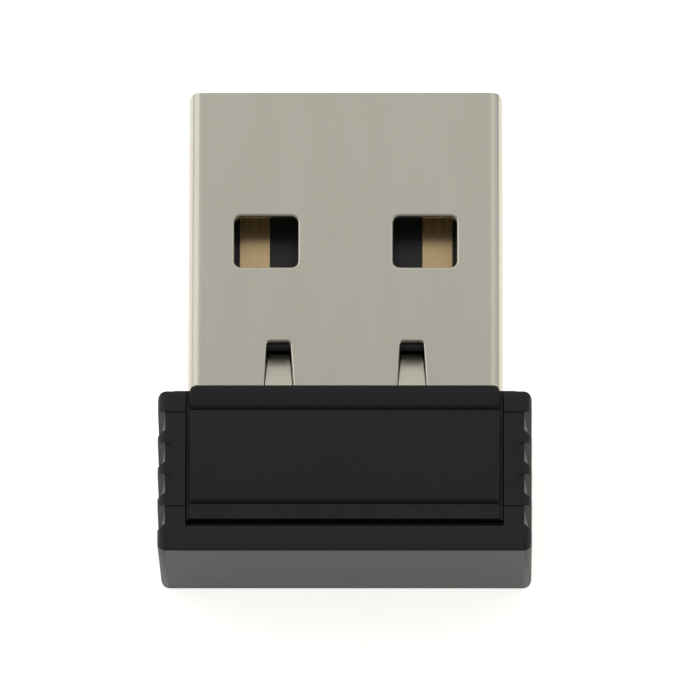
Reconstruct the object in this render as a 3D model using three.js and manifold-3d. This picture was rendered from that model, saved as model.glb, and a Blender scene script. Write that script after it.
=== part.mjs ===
// USB Wi-Fi adapter of the smallest kind: a folded steel plug around a printed board, clamped by two
// inner half shells that slide into a U-shaped grip cap.
//
// +X runs across the plug, +Y out of its mouth, and +Z out of the face that has the hollow over the
// contacts. The adapter lies on its back face at Z = 0, with the origin under the middle of its
// bounding box. All sizes are in millimetres.

import * as THREE from 'three';
import { ConvexGeometry } from 'three/addons/geometries/ConvexGeometry.js';
import { mergeVertices } from 'three/addons/utils/BufferGeometryUtils.js';
import Module from 'manifold-3d';

const wasm = await Module();
wasm.setup();

// ---------------------------------------------------------------- driving dimensions

// Plug shell
const PLUG_WIDTH = 12.0;
const PLUG_HEIGHT = 4.5;
const PLUG_REACH = 11.75; // from the housing's shoulder to the tip
const PLUG_ROOT = 2.4; // held inside the housing
const SHEET = 0.3;
const BEND_RADIUS = 0.1; // inside the sheet's folds
const TIP_CORNER = 0.3;
const HOLLOW_HEIGHT = 1.95; // between the contacts and the sheet over them

const WINDOW_WIDTH = 2.5;
const WINDOW_LENGTH = 2.08;
const WINDOW_CORNER = 0.25;
const WINDOW_SPACING = 6.06;
const WINDOW_FROM_TIP = 4.79;

const LATCH_SPACING = 5.08;
const LATCH_FREE_WIDTH = 1.0;
const LATCH_ROOT_WIDTH = 1.13;
const LATCH_LENGTH = 1.67; // along the plug
const LATCH_DEPTH = 0.75; // how far the free end is sprung in
const LATCH_SIDE_GAP = 0.03;
const LATCH_END_GAP = 0.27;
const LATCH_ROOT_GAP = 0.04; // from the bend to the housing's shoulder

const SEAM_GAP = 0.03;
const SEAM_KEYS = 3;
const SEAM_KEY_NECK = 0.9;
const SEAM_KEY_HEAD = 1.3;
const SEAM_KEY_DEPTH = 0.8;
const SEAM_KEY_PITCH = 4.2;
const SEAM_FIRST_KEY = 3.1; // from the tip to the middle of the first key

const LEG_LENGTH = 1.2;
const LEG_ABOVE_BOARD = 0.7;
const NUB_WIDTH = 1.2;
const NUB_LENGTH = 1.0;
const NUB_SHORT = 0.05; // nub's end below the sheet's inner face
const NUB_SPACING = 7.2;
const NUB_FROM_SHOULDER = 1.1;

// Board and its insulator
const BOARD_THICKNESS = 0.8;
const PAD_THICKNESS = 0.04;
const TONGUE_SETBACK = 0.4; // from the plug's tip to the insulator's lip
const LIP_LENGTH = 0.4;
const LIP_CHAMFER = 0.2;
const RAIL_WIDTH = 0.43;
const CARRIER_TAIL = 0.5; // how far the insulator runs into the housing
const CROSSBAR_LENGTH = 0.55;
const POCKET_HEAD = 0.1; // under the chip
const POCKET_SIDE = 0.8; // insulator left between the pocket and the rail
const POCKET_BACK = 0.6;

const CONTACT_WIDTH = 1.16;
const OUTER_CONTACT_SPACING = 7.0;
const INNER_CONTACT_SPACING = 2.0;
const OUTER_CONTACT_LENGTH = 7.4;
const INNER_CONTACT_LENGTH = 6.4;
const CONTACT_FROM_LIP = 0.7;

// Housing
const HOUSING_LENGTH = 6.43; // from the inner shells' shoulder to the cap's end face
const PANEL_THICKNESS = 1.22; // over and under the plug
const ARM_WIDTH = 1.06;
const ARM_SETBACK = 0.23; // from the shoulder to the arms' front
const SIDE_SEAM = 0.15;
const RAIL_NOSE = 0.15; // how far the inner shells' rails show past the arms
const END_SEAM = 0.25;
const END_BAND = 0.965; // face of the cap past the panel
const CAP_WALL = 0.55;
const CAP_END_WALL = 0.6;
const CAP_LIP = 0.62; // over the inner shells' rails
const CAP_CORNER = 0.33;
const CAP_EDGE = 0.09;
const SHOULDER_CHAMFER = 0.22;

const GROOVE_WIDTH = 0.22;
const GROOVE_DEPTH = 0.14;
const FRONT_BAND = 0.76; // shoulder to the first groove
const LAST_BAND = 0.58; // second groove to the panel's end
const GLINT_LENGTH = 0.85; // tapered bevels at the panel's corners
const GLINT_WIDTH = 0.24;
const GLINT_DEPTH = 0.16;

// Finger notches along each edge of the arms
const NOTCHES = 4;
const NOTCH_LENGTH = 0.72;
const NOTCH_RUNOUT = 0.22;
const NOTCH_INSET = 0.29;
const NOTCH_SHALLOW = 0.5; // height of the cut at its tip side
const NOTCH_TALL = 3.1; // height of the cut at its end side
const NOTCH_FROM_ARM = 0.8;
const NOTCH_FROM_END = 1.76;
const STEP_DEPTH = 0.06;
const SCOOP_WIDTH = 0.55;

const SNAP_LENGTH = 0.8;
const SNAP_HEIGHT = 0.14;
const SNAP_TALL = 0.8;
const SNAP_FROM_END = 2.0;

const RIB_LENGTH = 0.6;
const RIB_WIDTH = 1.6;
const RIB_FROM_END = 1.5;

// Fits
const PLUG_FIT = 0.03; // plug root in the inner shells
const SLOT_FIT = 0.04; // plug's side to the cap's lip
const SLIDE_FIT = 0.05; // inner shells in the cap
const SPLIT_FIT = 0.02; // between the half shells, each side
const CARRIER_FIT = 0.03; // insulator in the plug shell
const BOARD_FIT = 0.03; // board between the insulator's rails
const LEG_FIT = 0.05; // board between the shell's legs
const LATCH_FIT = 0.05; // latch's free end to the crossbar
const NUB_FIT = 0.05; // nub in the shell's hole
const SNAP_FIT = 0.05; // catch in the cap's recess
const POCKET_FIT = 0.3; // pocket past the chip, towards the tip
const BOARD_END_FIT = 0.25; // board's end to the cap's end wall

// Parts on the board: width across, length along and height, with their places from the shoulder
const CHIP = { width: 5.0, length: 5.0, height: 0.75, from: 6.2 };
const CHIP_CHAMFER = 0.35; // corner that marks the first terminal
const CRYSTAL_FIT = 0.58; // to the pocket's side
const CRYSTAL_SIZE = { width: 2.5, length: 2.0, height: 0.58, from: 2.2 };
const CRYSTAL_LID_HEIGHT = 0.2;
const CRYSTAL_LID_BORDER = 0.2;
const INDUCTOR_FROM_EDGE = 0.9; // of the board
const INDUCTOR_SIZE = { width: 2.0, length: 1.6, height: 0.95, from: -1.5 };
const INDUCTOR_FLANGE = 0.17;
const SMALL = { width: 1.0, length: 0.5, height: 0.5 };
const FLAT = { width: 1.0, length: 0.5, height: 0.35 };
const LARGE = { width: 1.6, length: 0.8, height: 0.8 };
const BYPASS_FIT = 0.3; // bypass capacitors to the chip's sides
const BYPASS_FROM = 6.9;
const BYPASS_MIDDLE = { x: 1.8, from: 2.9 }; // between the chip and the resistors
const LOAD_SPACING = 1.4; // crystal's load capacitors
const LOAD_FROM = 0.7;
const RESISTOR_FIT = 0.93; // to the pocket's side
const RESISTORS_FROM = [1.9, 1.0];
const SUPPLY_X = 0.2;
const SUPPLY_FROM = [-1.1, -2.3];
const MATCHING_X = 2.6;
const MATCHING_FROM = [-2.6, -1.8, -1.0];
const TERMINAL_SHARE = 0.25; // of a small part's width
const TERMINAL_PROUD = 0.02;

const ANTENNA_FIT = 0.73; // to the ribs on each side
const ANTENNA_LINE = 0.3;
const ANTENNA_TURNS = 6;
const ANTENNA_LENGTH = 1.5;
const ANTENNA_FROM_BOARD_END = 0.25;
const ANTENNA_FEED = 0.7;

// ---------------------------------------------------------------- places worked out from them

const TIP_Y = (HOUSING_LENGTH + PLUG_REACH) / 2;
const SHOULDER_Y = TIP_Y - PLUG_REACH;
const END_Y = SHOULDER_Y - HOUSING_LENGTH;
const SHELL_ROOT_Y = SHOULDER_Y - PLUG_ROOT;

const MID_Z = PLUG_HEIGHT / 2 + PLUG_FIT + PANEL_THICKNESS;
const HALF_THICKNESS = MID_Z;
const PLUG_TOP = MID_Z + PLUG_HEIGHT / 2;
const PLUG_BOTTOM = MID_Z - PLUG_HEIGHT / 2;
const HALF_PLUG = PLUG_WIDTH / 2;
const CONTACT_Z = PLUG_TOP - SHEET - HOLLOW_HEIGHT;
const BOARD_TOP = CONTACT_Z - PAD_THICKNESS;
const BOARD_BOTTOM = BOARD_TOP - BOARD_THICKNESS;

const HALF_SLOT = HALF_PLUG + SLOT_FIT;
const HALF_PANEL = HALF_SLOT - SIDE_SEAM;
const HALF_HOUSING = HALF_SLOT + ARM_WIDTH;
const HALF_CAVITY = HALF_HOUSING - CAP_WALL;
const HALF_INNER = HALF_CAVITY - SLIDE_FIT;
const INNER_WALL_X = HALF_PLUG + PLUG_FIT;
const ARM_Y = SHOULDER_Y - ARM_SETBACK;
const PANEL_END_Y = END_Y + END_BAND + END_SEAM;
const INNER_END_Y = END_Y + CAP_END_WALL + SLIDE_FIT;
const RAIL_HEIGHT = HALF_THICKNESS - CAP_LIP - SLIDE_FIT; // from the middle plane
const CAVITY_HEIGHT = HALF_THICKNESS - CAP_LIP;
const INNER_HEIGHT = PLUG_HEIGHT / 2 + PLUG_FIT;

const LIP_Y = TIP_Y - TONGUE_SETBACK;
const CARRIER_HALF = HALF_PLUG - SHEET - CARRIER_FIT;
const CARRIER_BOTTOM = PLUG_BOTTOM + SHEET + CARRIER_FIT;
const CARRIER_END_Y = SHOULDER_Y - CARRIER_TAIL;
const RAIL_X = CARRIER_HALF - RAIL_WIDTH;
const BOARD_FRONT_Y = LIP_Y - LIP_LENGTH - BOARD_FIT;
const BOARD_END_Y = END_Y + CAP_END_WALL + BOARD_END_FIT;
const BOARD_HALF = RAIL_X - BOARD_FIT;
const BOARD_WIDE_HALF = HALF_PLUG - SHEET - LEG_FIT;
const POCKET_HALF = RAIL_X - POCKET_SIDE;
const LATCH_ROOT_Y = SHOULDER_Y + LATCH_ROOT_GAP;
const LATCH_FREE_Y = LATCH_ROOT_Y + LATCH_LENGTH;
const CROSSBAR_Y = LATCH_FREE_Y + LATCH_FIT;
const NUB_Y = SHOULDER_Y - NUB_FROM_SHOULDER;
const RIB_X = INNER_WALL_X - RIB_WIDTH;
const ANTENNA_HALF = RIB_X - ANTENNA_FIT;

const CRYSTAL = { ...CRYSTAL_SIZE, x: CRYSTAL_FIT + CRYSTAL_SIZE.width / 2 - POCKET_HALF };
const INDUCTOR = {
  ...INDUCTOR_SIZE, x: INDUCTOR_FROM_EDGE + INDUCTOR_SIZE.width / 2 - BOARD_HALF,
};
const LOAD_X = [CRYSTAL.x - LOAD_SPACING / 2, CRYSTAL.x + LOAD_SPACING / 2];
const BYPASS_X = CHIP.width / 2 + BYPASS_FIT + SMALL.length / 2;
const RESISTOR_X = POCKET_HALF - RESISTOR_FIT - FLAT.width / 2;

const ARC_STEPS = 5;
const PAST = 1; // how far a cutter runs past what it cuts
const MERGE_DISTANCE = 1e-5;

const X_AXIS = new THREE.Vector3(1, 0, 0);
const Y_AXIS = new THREE.Vector3(0, 1, 0);
const Z_AXIS = new THREE.Vector3(0, 0, 1);
const ALONG_X = new THREE.Matrix4().makeBasis(Y_AXIS, Z_AXIS, X_AXIS);
const ALONG_Y = new THREE.Matrix4().makeBasis(X_AXIS, Z_AXIS, Y_AXIS.clone().negate());

const FRONT = 1;
const REAR = -1;
const BOTH_SIDES = [-1, 1];

// ---------------------------------------------------------------- solids

/** The manifold solid of a closed three.js geometry. */
function toSolid(geometry) {
  const bare = geometry.clone();
  bare.deleteAttribute('normal');
  bare.deleteAttribute('uv');
  const merged = mergeVertices(bare, MERGE_DISTANCE);
  return new wasm.Manifold(new wasm.Mesh({
    numProp: 3,
    vertProperties: new Float32Array(merged.attributes.position.array),
    triVerts: new Uint32Array(merged.index.array),
  }));
}

/** The three.js geometry of a manifold solid. */
function toGeometry(solid) {
  const { vertProperties, triVerts } = solid.getMesh();
  const geometry = new THREE.BufferGeometry();
  geometry.setAttribute('position', new THREE.BufferAttribute(vertProperties, 3));
  geometry.setIndex(new THREE.BufferAttribute(triVerts, 1));
  geometry.computeVertexNormals();
  return geometry;
}

/** A rectangular block between two places along each axis, in either order. */
function block([x0, x1], [y0, y1], [z0, z1]) {
  const geometry = new THREE.BoxGeometry(Math.abs(x1 - x0), Math.abs(y1 - y0), Math.abs(z1 - z0));
  return toSolid(geometry.translate((x0 + x1) / 2, (y0 + y1) / 2, (z0 + z1) / 2));
}

/** The outline through a list of points. */
function outline(points) {
  return new THREE.Shape(points.map(([u, v]) => new THREE.Vector2(u, v)));
}

/** A rectangle whose corners have a radius. */
function roundedRectangle([u0, u1], [v0, v1], radius) {
  const quarter = Math.PI / 2;
  const shape = new THREE.Shape();
  shape.moveTo(u0 + radius, v0);
  shape.absarc(u1 - radius, v0 + radius, radius, -quarter, 0);
  shape.absarc(u1 - radius, v1 - radius, radius, 0, quarter);
  shape.absarc(u0 + radius, v1 - radius, radius, quarter, 2 * quarter);
  shape.absarc(u0 + radius, v0 + radius, radius, 2 * quarter, 3 * quarter);
  shape.closePath();
  return shape;
}

/** A straight prism of an outline, before it is placed. */
function prism(shape, depth) {
  return new THREE.ExtrudeGeometry(shape, { depth, bevelEnabled: false, curveSegments: ARC_STEPS });
}

/** A prism of an XY outline between two heights. */
function uprightPrism(shape, [z0, z1]) {
  return toSolid(prism(shape, z1 - z0).translate(0, 0, z0));
}

/** A prism of an XZ outline between two places along Y. */
function prismAlongY(shape, [y0, y1]) {
  return toSolid(prism(shape, y1 - y0).applyMatrix4(ALONG_Y).translate(0, y1, 0));
}

/** A prism of a YZ outline between two places along X. */
function prismAlongX(shape, [x0, x1]) {
  return toSolid(prism(shape, x1 - x0).applyMatrix4(ALONG_X).translate(x0, 0, 0));
}

/** The convex solid around some points. */
function hull(points) {
  return toSolid(new ConvexGeometry(points.map((p) => new THREE.Vector3(...p))));
}

/** One solid from several that touch or overlap. */
function join(solids) {
  return solids.reduce((whole, solid) => whole.add(solid));
}

/** A solid with each cutter taken away. */
function cut(solid, cutters) {
  return cutters.reduce((whole, cutter) => whole.subtract(cutter), solid);
}

/** A height that lies some way in front of, or behind, the middle plane. */
function fromMiddle(side, distance) {
  return MID_Z + side * distance;
}

// ---------------------------------------------------------------- plug

/** The folded tube, without any opening. */
function shellTube() {
  const outside = roundedRectangle(
    [-HALF_PLUG, HALF_PLUG], [PLUG_BOTTOM, PLUG_TOP], BEND_RADIUS + SHEET);
  const inside = roundedRectangle(
    [SHEET - HALF_PLUG, HALF_PLUG - SHEET], [PLUG_BOTTOM + SHEET, PLUG_TOP - SHEET], BEND_RADIUS);
  const plan = roundedRectangle(
    [-HALF_PLUG, HALF_PLUG], [SHELL_ROOT_Y - PAST, TIP_Y], TIP_CORNER);
  return prismAlongY(outside, [SHELL_ROOT_Y, TIP_Y])
    .subtract(prismAlongY(inside, [SHELL_ROOT_Y - PAST, TIP_Y + PAST]))
    .intersect(uprightPrism(plan, [PLUG_BOTTOM - PAST, PLUG_TOP + PAST]));
}

/** The four windows, two in each broad face. */
function shellWindows() {
  const tipSide = TIP_Y - WINDOW_FROM_TIP;
  return BOTH_SIDES.map((side) => {
    const x = side * WINDOW_SPACING / 2;
    const shape = roundedRectangle([x - WINDOW_WIDTH / 2, x + WINDOW_WIDTH / 2],
      [tipSide - WINDOW_LENGTH, tipSide], WINDOW_CORNER);
    return uprightPrism(shape, [PLUG_BOTTOM - PAST, PLUG_TOP + PAST]);
  });
}

/** The outline that a latch, or the slot it is cut from, has in plan. */
function latchPlan(x, widen, freeY) {
  const root = LATCH_ROOT_WIDTH / 2 + widen;
  const free = LATCH_FREE_WIDTH / 2 + widen;
  return outline([
    [x - root, LATCH_ROOT_Y], [x + root, LATCH_ROOT_Y], [x + free, freeY], [x - free, freeY],
  ]);
}

/** The slots through the front face around both latches. */
function latchSlots() {
  return BOTH_SIDES.map((side) => {
    const plan = latchPlan(side * LATCH_SPACING / 2, 0, LATCH_FREE_Y + LATCH_END_GAP);
    return uprightPrism(plan, [PLUG_TOP - SHEET - PAST / 2, PLUG_TOP + PAST]);
  });
}

/** One latch, sprung inwards from its bend at the housing. */
function latchTab(side) {
  const x = side * LATCH_SPACING / 2;
  const slope = Math.atan2(LATCH_DEPTH, LATCH_LENGTH);
  const under = [-SHEET * Math.sin(slope), -SHEET * Math.cos(slope)];
  const root = [LATCH_ROOT_Y, PLUG_TOP];
  const free = [LATCH_FREE_Y, PLUG_TOP - LATCH_DEPTH];
  const profile = outline([
    [root[0] - SHEET, PLUG_TOP], root, free, [free[0] + under[0], free[1] + under[1]],
    [root[0] + under[0], root[1] + under[1]], [root[0] - SHEET, PLUG_TOP - SHEET],
  ]);
  const width = LATCH_ROOT_WIDTH / 2;
  const plan = latchPlan(x, -LATCH_SIDE_GAP, LATCH_FREE_Y);
  const ramp = prismAlongX(profile, [x - width, x + width]);
  const bend = block([x - width, x + width], [LATCH_ROOT_Y - SHEET, LATCH_ROOT_Y],
    [PLUG_TOP - SHEET, PLUG_TOP]);
  return ramp.intersect(uprightPrism(plan, [PLUG_BOTTOM, PLUG_TOP])).add(bend);
}

/** The line where the sheet's two edges meet on the back, dovetailed so that they can't open. */
function shellSeam() {
  const half = SEAM_GAP / 2;
  const steps = [];
  for (let i = 0; i < SEAM_KEYS; i += 1) {
    const y = TIP_Y - SEAM_FIRST_KEY - i * SEAM_KEY_PITCH;
    steps.push([0, y + SEAM_KEY_NECK / 2], [SEAM_KEY_DEPTH, y + SEAM_KEY_HEAD / 2],
      [SEAM_KEY_DEPTH, y - SEAM_KEY_HEAD / 2], [0, y - SEAM_KEY_NECK / 2]);
  }
  const line = [[0, TIP_Y + PAST], ...steps, [0, SHELL_ROOT_Y - PAST]];
  const pieces = line.slice(1).map((to, i) => {
    const from = line[i];
    const along = new THREE.Vector2(to[0] - from[0], to[1] - from[1]).setLength(half);
    const [ax, ay] = [from[0] - along.x, from[1] - along.y];
    const [bx, by] = [to[0] + along.x, to[1] + along.y];
    return uprightPrism(outline([
      [ax + along.y, ay - along.x], [bx + along.y, by - along.x],
      [bx - along.y, by + along.x], [ax - along.y, ay + along.x],
    ]), [PLUG_BOTTOM - PAST, PLUG_BOTTOM + SHEET + PAST / 2]);
  });
  return join(pieces);
}

/** The place of one of the nubs that keep the shell in the housing, widened by a clearance. */
function nubBlock(side, fit, heights) {
  const x = side * NUB_SPACING / 2;
  return block([x - NUB_WIDTH / 2 - fit, x + NUB_WIDTH / 2 + fit],
    [NUB_Y - NUB_LENGTH / 2 - fit, NUB_Y + NUB_LENGTH / 2 + fit], heights);
}

/** A leg of the side wall that is soldered to the board's edge. */
function shellLeg(side) {
  return block([side * (HALF_PLUG - SHEET), side * HALF_PLUG],
    [SHELL_ROOT_Y - LEG_LENGTH, SHELL_ROOT_Y + SHEET], [BOARD_BOTTOM, BOARD_TOP + LEG_ABOVE_BOARD]);
}

function plugShell() {
  const heights = [PLUG_BOTTOM - PAST, PLUG_BOTTOM + PAST / 2];
  const holes = BOTH_SIDES.map((side) => nubBlock(side, NUB_FIT, heights));
  const folded = cut(shellTube(), [...shellWindows(), ...latchSlots(), shellSeam(), ...holes]);
  return join([folded, ...BOTH_SIDES.map(latchTab), ...BOTH_SIDES.map(shellLeg)]);
}

/** The insulator: a tray under the board, a lip in front of it and a crossbar over it. */
function plugCarrier() {
  const front = outline([
    [CARRIER_END_Y, CARRIER_BOTTOM], [LIP_Y - LIP_CHAMFER, CARRIER_BOTTOM],
    [LIP_Y, CARRIER_BOTTOM + LIP_CHAMFER], [LIP_Y, CONTACT_Z - LIP_CHAMFER],
    [LIP_Y - LIP_CHAMFER, CONTACT_Z], [CARRIER_END_Y, CONTACT_Z],
  ]);
  const body = prismAlongX(front, [-CARRIER_HALF, CARRIER_HALF]);
  const boardSpace = block([-RAIL_X, RAIL_X], [CARRIER_END_Y - PAST, LIP_Y - LIP_LENGTH],
    [BOARD_BOTTOM, CONTACT_Z + PAST]);
  const pocket = block([-POCKET_HALF, POCKET_HALF],
    [CARRIER_END_Y + POCKET_BACK, SHOULDER_Y + CHIP.from + CHIP.length / 2 + POCKET_FIT],
    [BOARD_BOTTOM - CHIP.height - POCKET_HEAD, CONTACT_Z]);
  const crossbar = block([-CARRIER_HALF, CARRIER_HALF], [CROSSBAR_Y, CROSSBAR_Y + CROSSBAR_LENGTH],
    [CONTACT_Z, PLUG_TOP - SHEET - CARRIER_FIT]);
  return cut(body, [boardSpace, pocket]).add(crossbar);
}

// ---------------------------------------------------------------- board

/** The board: narrow between the insulator's rails, wide between the shell's legs. */
function circuitBoard() {
  const wideFrom = SHELL_ROOT_Y - LEG_FIT;
  return uprightPrism(outline([
    [-BOARD_WIDE_HALF, BOARD_END_Y], [BOARD_WIDE_HALF, BOARD_END_Y], [BOARD_WIDE_HALF, wideFrom],
    [BOARD_HALF, wideFrom], [BOARD_HALF, BOARD_FRONT_Y], [-BOARD_HALF, BOARD_FRONT_Y],
    [-BOARD_HALF, wideFrom], [-BOARD_WIDE_HALF, wideFrom],
  ]), [BOARD_BOTTOM, BOARD_TOP]);
}

/** A contact pad. Every pad ends at the same place, and the outer ones start nearer to the mouth. */
function contactPad(x, length) {
  const end = BOARD_FRONT_Y - CONTACT_FROM_LIP - OUTER_CONTACT_LENGTH;
  return block([x - CONTACT_WIDTH / 2, x + CONTACT_WIDTH / 2], [end, end + length], [BOARD_TOP, CONTACT_Z]);
}

/** The radio chip under the board, with one corner cut to mark its first terminal. */
function wifiChip() {
  const [half, y] = [CHIP.width / 2, SHOULDER_Y + CHIP.from];
  const [y0, y1] = [y - CHIP.length / 2, y + CHIP.length / 2];
  return uprightPrism(outline([
    [-half, y0], [half, y0], [half, y1], [CHIP_CHAMFER - half, y1], [-half, y1 - CHIP_CHAMFER],
  ]), [BOARD_BOTTOM - CHIP.height, BOARD_BOTTOM]);
}

/** A rectangle on the board around a part's place, drawn in by a border. */
function footprint({ width, length, x, from }, border = 0) {
  const y = SHOULDER_Y + from;
  return [
    [x - width / 2 + border, x + width / 2 - border],
    [y - length / 2 + border, y + length / 2 - border],
  ];
}

function crystalBase() {
  return block(...footprint(CRYSTAL),
    [BOARD_BOTTOM - CRYSTAL.height + CRYSTAL_LID_HEIGHT, BOARD_BOTTOM]);
}

function crystalLid() {
  const bottom = BOARD_BOTTOM - CRYSTAL.height;
  return block(...footprint(CRYSTAL, CRYSTAL_LID_BORDER), [bottom, bottom + CRYSTAL_LID_HEIGHT]);
}

/** A two-ended part: a body between two end caps that stand a little proud of it. */
function twoEndedPart({ width, length, height, x, from, under, turned }) {
  const base = under ? BOARD_BOTTOM : BOARD_TOP;
  const up = under ? -1 : 1;
  const [half, across] = [width / 2, length / 2];
  const end = width * TERMINAL_SHARE;
  const slice = (along, inset) => {
    const ranges = [along, [inset - across, across - inset]];
    const [us, vs] = turned ? ranges.reverse() : ranges;
    return block(us.map((u) => u + x), vs.map((v) => v + SHOULDER_Y + from),
      [base, base + up * (height - inset)]);
  };
  return join([slice([-half, half], TERMINAL_PROUD), slice([-half, end - half], 0),
    slice([half - end, half], 0)]);
}

/** The power inductor: a drum with a winding between two square flanges. */
function powerInductor() {
  const [xs, ys] = footprint(INDUCTOR);
  const middle = BOARD_TOP + INDUCTOR.height / 2;
  const radius = (INDUCTOR.length - INDUCTOR_FLANGE) / 2;
  const winding = new THREE.CylinderGeometry(radius, radius, INDUCTOR.height, 4 * ARC_STEPS);
  winding.rotateX(Math.PI / 2).translate(INDUCTOR.x, SHOULDER_Y + INDUCTOR.from, middle);
  return join([
    toSolid(winding),
    block(xs, ys, [BOARD_TOP, BOARD_TOP + INDUCTOR_FLANGE]),
    block(xs, ys, [BOARD_TOP + INDUCTOR.height - INDUCTOR_FLANGE, BOARD_TOP + INDUCTOR.height]),
  ]);
}

/** The printed antenna: a feed line and a meander along the board's end. */
function antennaTrace() {
  const y0 = BOARD_END_Y + ANTENNA_FROM_BOARD_END;
  const y1 = y0 + ANTENNA_LENGTH;
  const pitch = (2 * ANTENNA_HALF - ANTENNA_LINE) / ANTENNA_TURNS;
  const heights = [BOARD_TOP, CONTACT_Z];
  const left = (turn) => turn * pitch - ANTENNA_HALF;
  const lines = [];
  for (let turn = 0; turn <= ANTENNA_TURNS; turn += 1) {
    const feeds = turn === ANTENNA_TURNS || turn === ANTENNA_TURNS - 1;
    lines.push(block([left(turn), left(turn) + ANTENNA_LINE],
      [y0, feeds ? y1 + ANTENNA_FEED : y1], heights));
  }
  for (let turn = 0; turn < ANTENNA_TURNS - 1; turn += 1) {
    const ends = turn % 2 === 0 ? [y1 - ANTENNA_LINE, y1] : [y0, y0 + ANTENNA_LINE];
    lines.push(block([left(turn), left(turn + 1) + ANTENNA_LINE], ends, heights));
  }
  lines.push(block([left(ANTENNA_TURNS - 1), left(ANTENNA_TURNS) + ANTENNA_LINE],
    [y0, y0 + ANTENNA_LINE], heights));
  return join(lines);
}

/** A solder fillet between the board and one of the shell's legs. */
function solderJoint(side) {
  const [x0, x1] = [side * (BOARD_WIDE_HALF - LEG_ABOVE_BOARD), side * (HALF_PLUG - SHEET)];
  const points = [];
  for (const y of [SHELL_ROOT_Y - LEG_LENGTH, SHELL_ROOT_Y - LEG_FIT]) {
    points.push([x0, y, BOARD_TOP], [x1, y, BOARD_TOP], [x1, y, BOARD_TOP + LEG_ABOVE_BOARD]);
  }
  return hull(points);
}

// ---------------------------------------------------------------- inner half shells

/** The groove lines across a panel's face. */
function panelGrooves(side) {
  const starts = [SHOULDER_Y - FRONT_BAND, PANEL_END_Y + LAST_BAND + GROOVE_WIDTH];
  return starts.map((y) => block([-HALF_PANEL - PAST, HALF_PANEL + PAST], [y - GROOVE_WIDTH, y],
    [fromMiddle(side, HALF_THICKNESS - GROOVE_DEPTH), fromMiddle(side, HALF_THICKNESS + PAST)]));
}

/** The tapered bevels at the panel's sides, each widest at a groove and run out away from it. */
function panelGlints(side) {
  const face = fromMiddle(side, HALF_THICKNESS);
  const low = fromMiddle(side, HALF_THICKNESS - GLINT_DEPTH);
  const starts = [SHOULDER_Y - FRONT_BAND - GROOVE_WIDTH, PANEL_END_Y + LAST_BAND];
  return starts.flatMap((y) => BOTH_SIDES.map((hand) => {
    const edge = hand * HALF_PANEL;
    const out = hand * (HALF_PANEL + PAST);
    const end = y - Math.min(GLINT_LENGTH, LAST_BAND);
    return hull([
      [edge - hand * GLINT_WIDTH, y + GROOVE_WIDTH / 2, face], [edge, y + GROOVE_WIDTH / 2, low],
      [edge, end, face], [out, y + GROOVE_WIDTH / 2, low], [out, end, face],
      [out, y + GROOVE_WIDTH / 2, face + side * PAST], [edge, end, face + side * PAST],
      [edge - hand * GLINT_WIDTH, y + GROOVE_WIDTH / 2, face + side * PAST],
    ]);
  }));
}

/** The chamfered corners at the shoulder. */
function shoulderChamfers() {
  const size = SHOULDER_CHAMFER + PAST;
  return BOTH_SIDES.map((hand) => uprightPrism(outline(
    [
      [hand * (HALF_PANEL - SHOULDER_CHAMFER), SHOULDER_Y],
      [hand * HALF_PANEL, SHOULDER_Y - SHOULDER_CHAMFER],
      [hand * (HALF_PANEL + size), SHOULDER_Y - SHOULDER_CHAMFER],
      [hand * (HALF_PANEL + size), SHOULDER_Y + size],
      [hand * (HALF_PANEL - SHOULDER_CHAMFER), SHOULDER_Y + size],
    ],
  ), [-PAST, 2 * HALF_THICKNESS + PAST]));
}

/** Where a snap catch stands proud of the rail, or the recess for it, by a clearance. */
function snapBlock(hand, side, fit) {
  const y = END_Y + SNAP_FROM_END;
  return block([hand * (HALF_INNER - fit), hand * (HALF_INNER + SNAP_HEIGHT + fit)],
    [y - SNAP_LENGTH / 2 - fit, y + SNAP_LENGTH / 2 + fit],
    [fromMiddle(side, fit ? -PAST / 2 : SPLIT_FIT), fromMiddle(side, SNAP_TALL + fit)]);
}

/** One half shell: panel, rails, ribs on the board and catches for the cap. */
function innerShell(side) {
  const panel = block([-HALF_PANEL, HALF_PANEL], [PANEL_END_Y, SHOULDER_Y],
    [fromMiddle(side, INNER_HEIGHT), fromMiddle(side, HALF_THICKNESS)]);
  const rails = block([-HALF_INNER, HALF_INNER], [INNER_END_Y, ARM_Y + RAIL_NOSE],
    [fromMiddle(side, SPLIT_FIT), fromMiddle(side, RAIL_HEIGHT)]);
  const plugSpace = block([-INNER_WALL_X, INNER_WALL_X], [INNER_END_Y - PAST, SHOULDER_Y + PAST],
    [fromMiddle(side, -PAST), fromMiddle(side, INNER_HEIGHT)]);
  const solid = cut(join([panel, rails]),
    [plugSpace, ...panelGrooves(side), ...panelGlints(side), ...shoulderChamfers()]);
  const boardFace = side === FRONT ? BOARD_TOP : BOARD_BOTTOM;
  const ribY = END_Y + RIB_FROM_END;
  const ribs = BOTH_SIDES.map((hand) => block(
    [hand * RIB_X, hand * INNER_WALL_X], [ribY, ribY + RIB_LENGTH],
    [boardFace, fromMiddle(side, INNER_HEIGHT + SHEET)]));
  const catches = BOTH_SIDES.map((hand) => snapBlock(hand, side, 0));
  return join([solid, ...ribs, ...catches]);
}

/** The rear half also has the nubs that reach into the plug shell. */
function innerShellRear() {
  const floor = fromMiddle(REAR, INNER_HEIGHT);
  const nubs = BOTH_SIDES.map((side) => nubBlock(side, 0,
    [floor - SHEET, PLUG_BOTTOM + SHEET - NUB_SHORT]));
  return join([innerShell(REAR), ...nubs]);
}

// ---------------------------------------------------------------- cap

/** Where each finger notch starts, on its side towards the plug. */
function notchStarts() {
  const first = ARM_Y - NOTCH_FROM_ARM;
  const last = END_Y + NOTCH_FROM_END;
  return Array.from({ length: NOTCHES }, (_, i) => first + (last - first) * i / (NOTCHES - 1));
}

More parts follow.
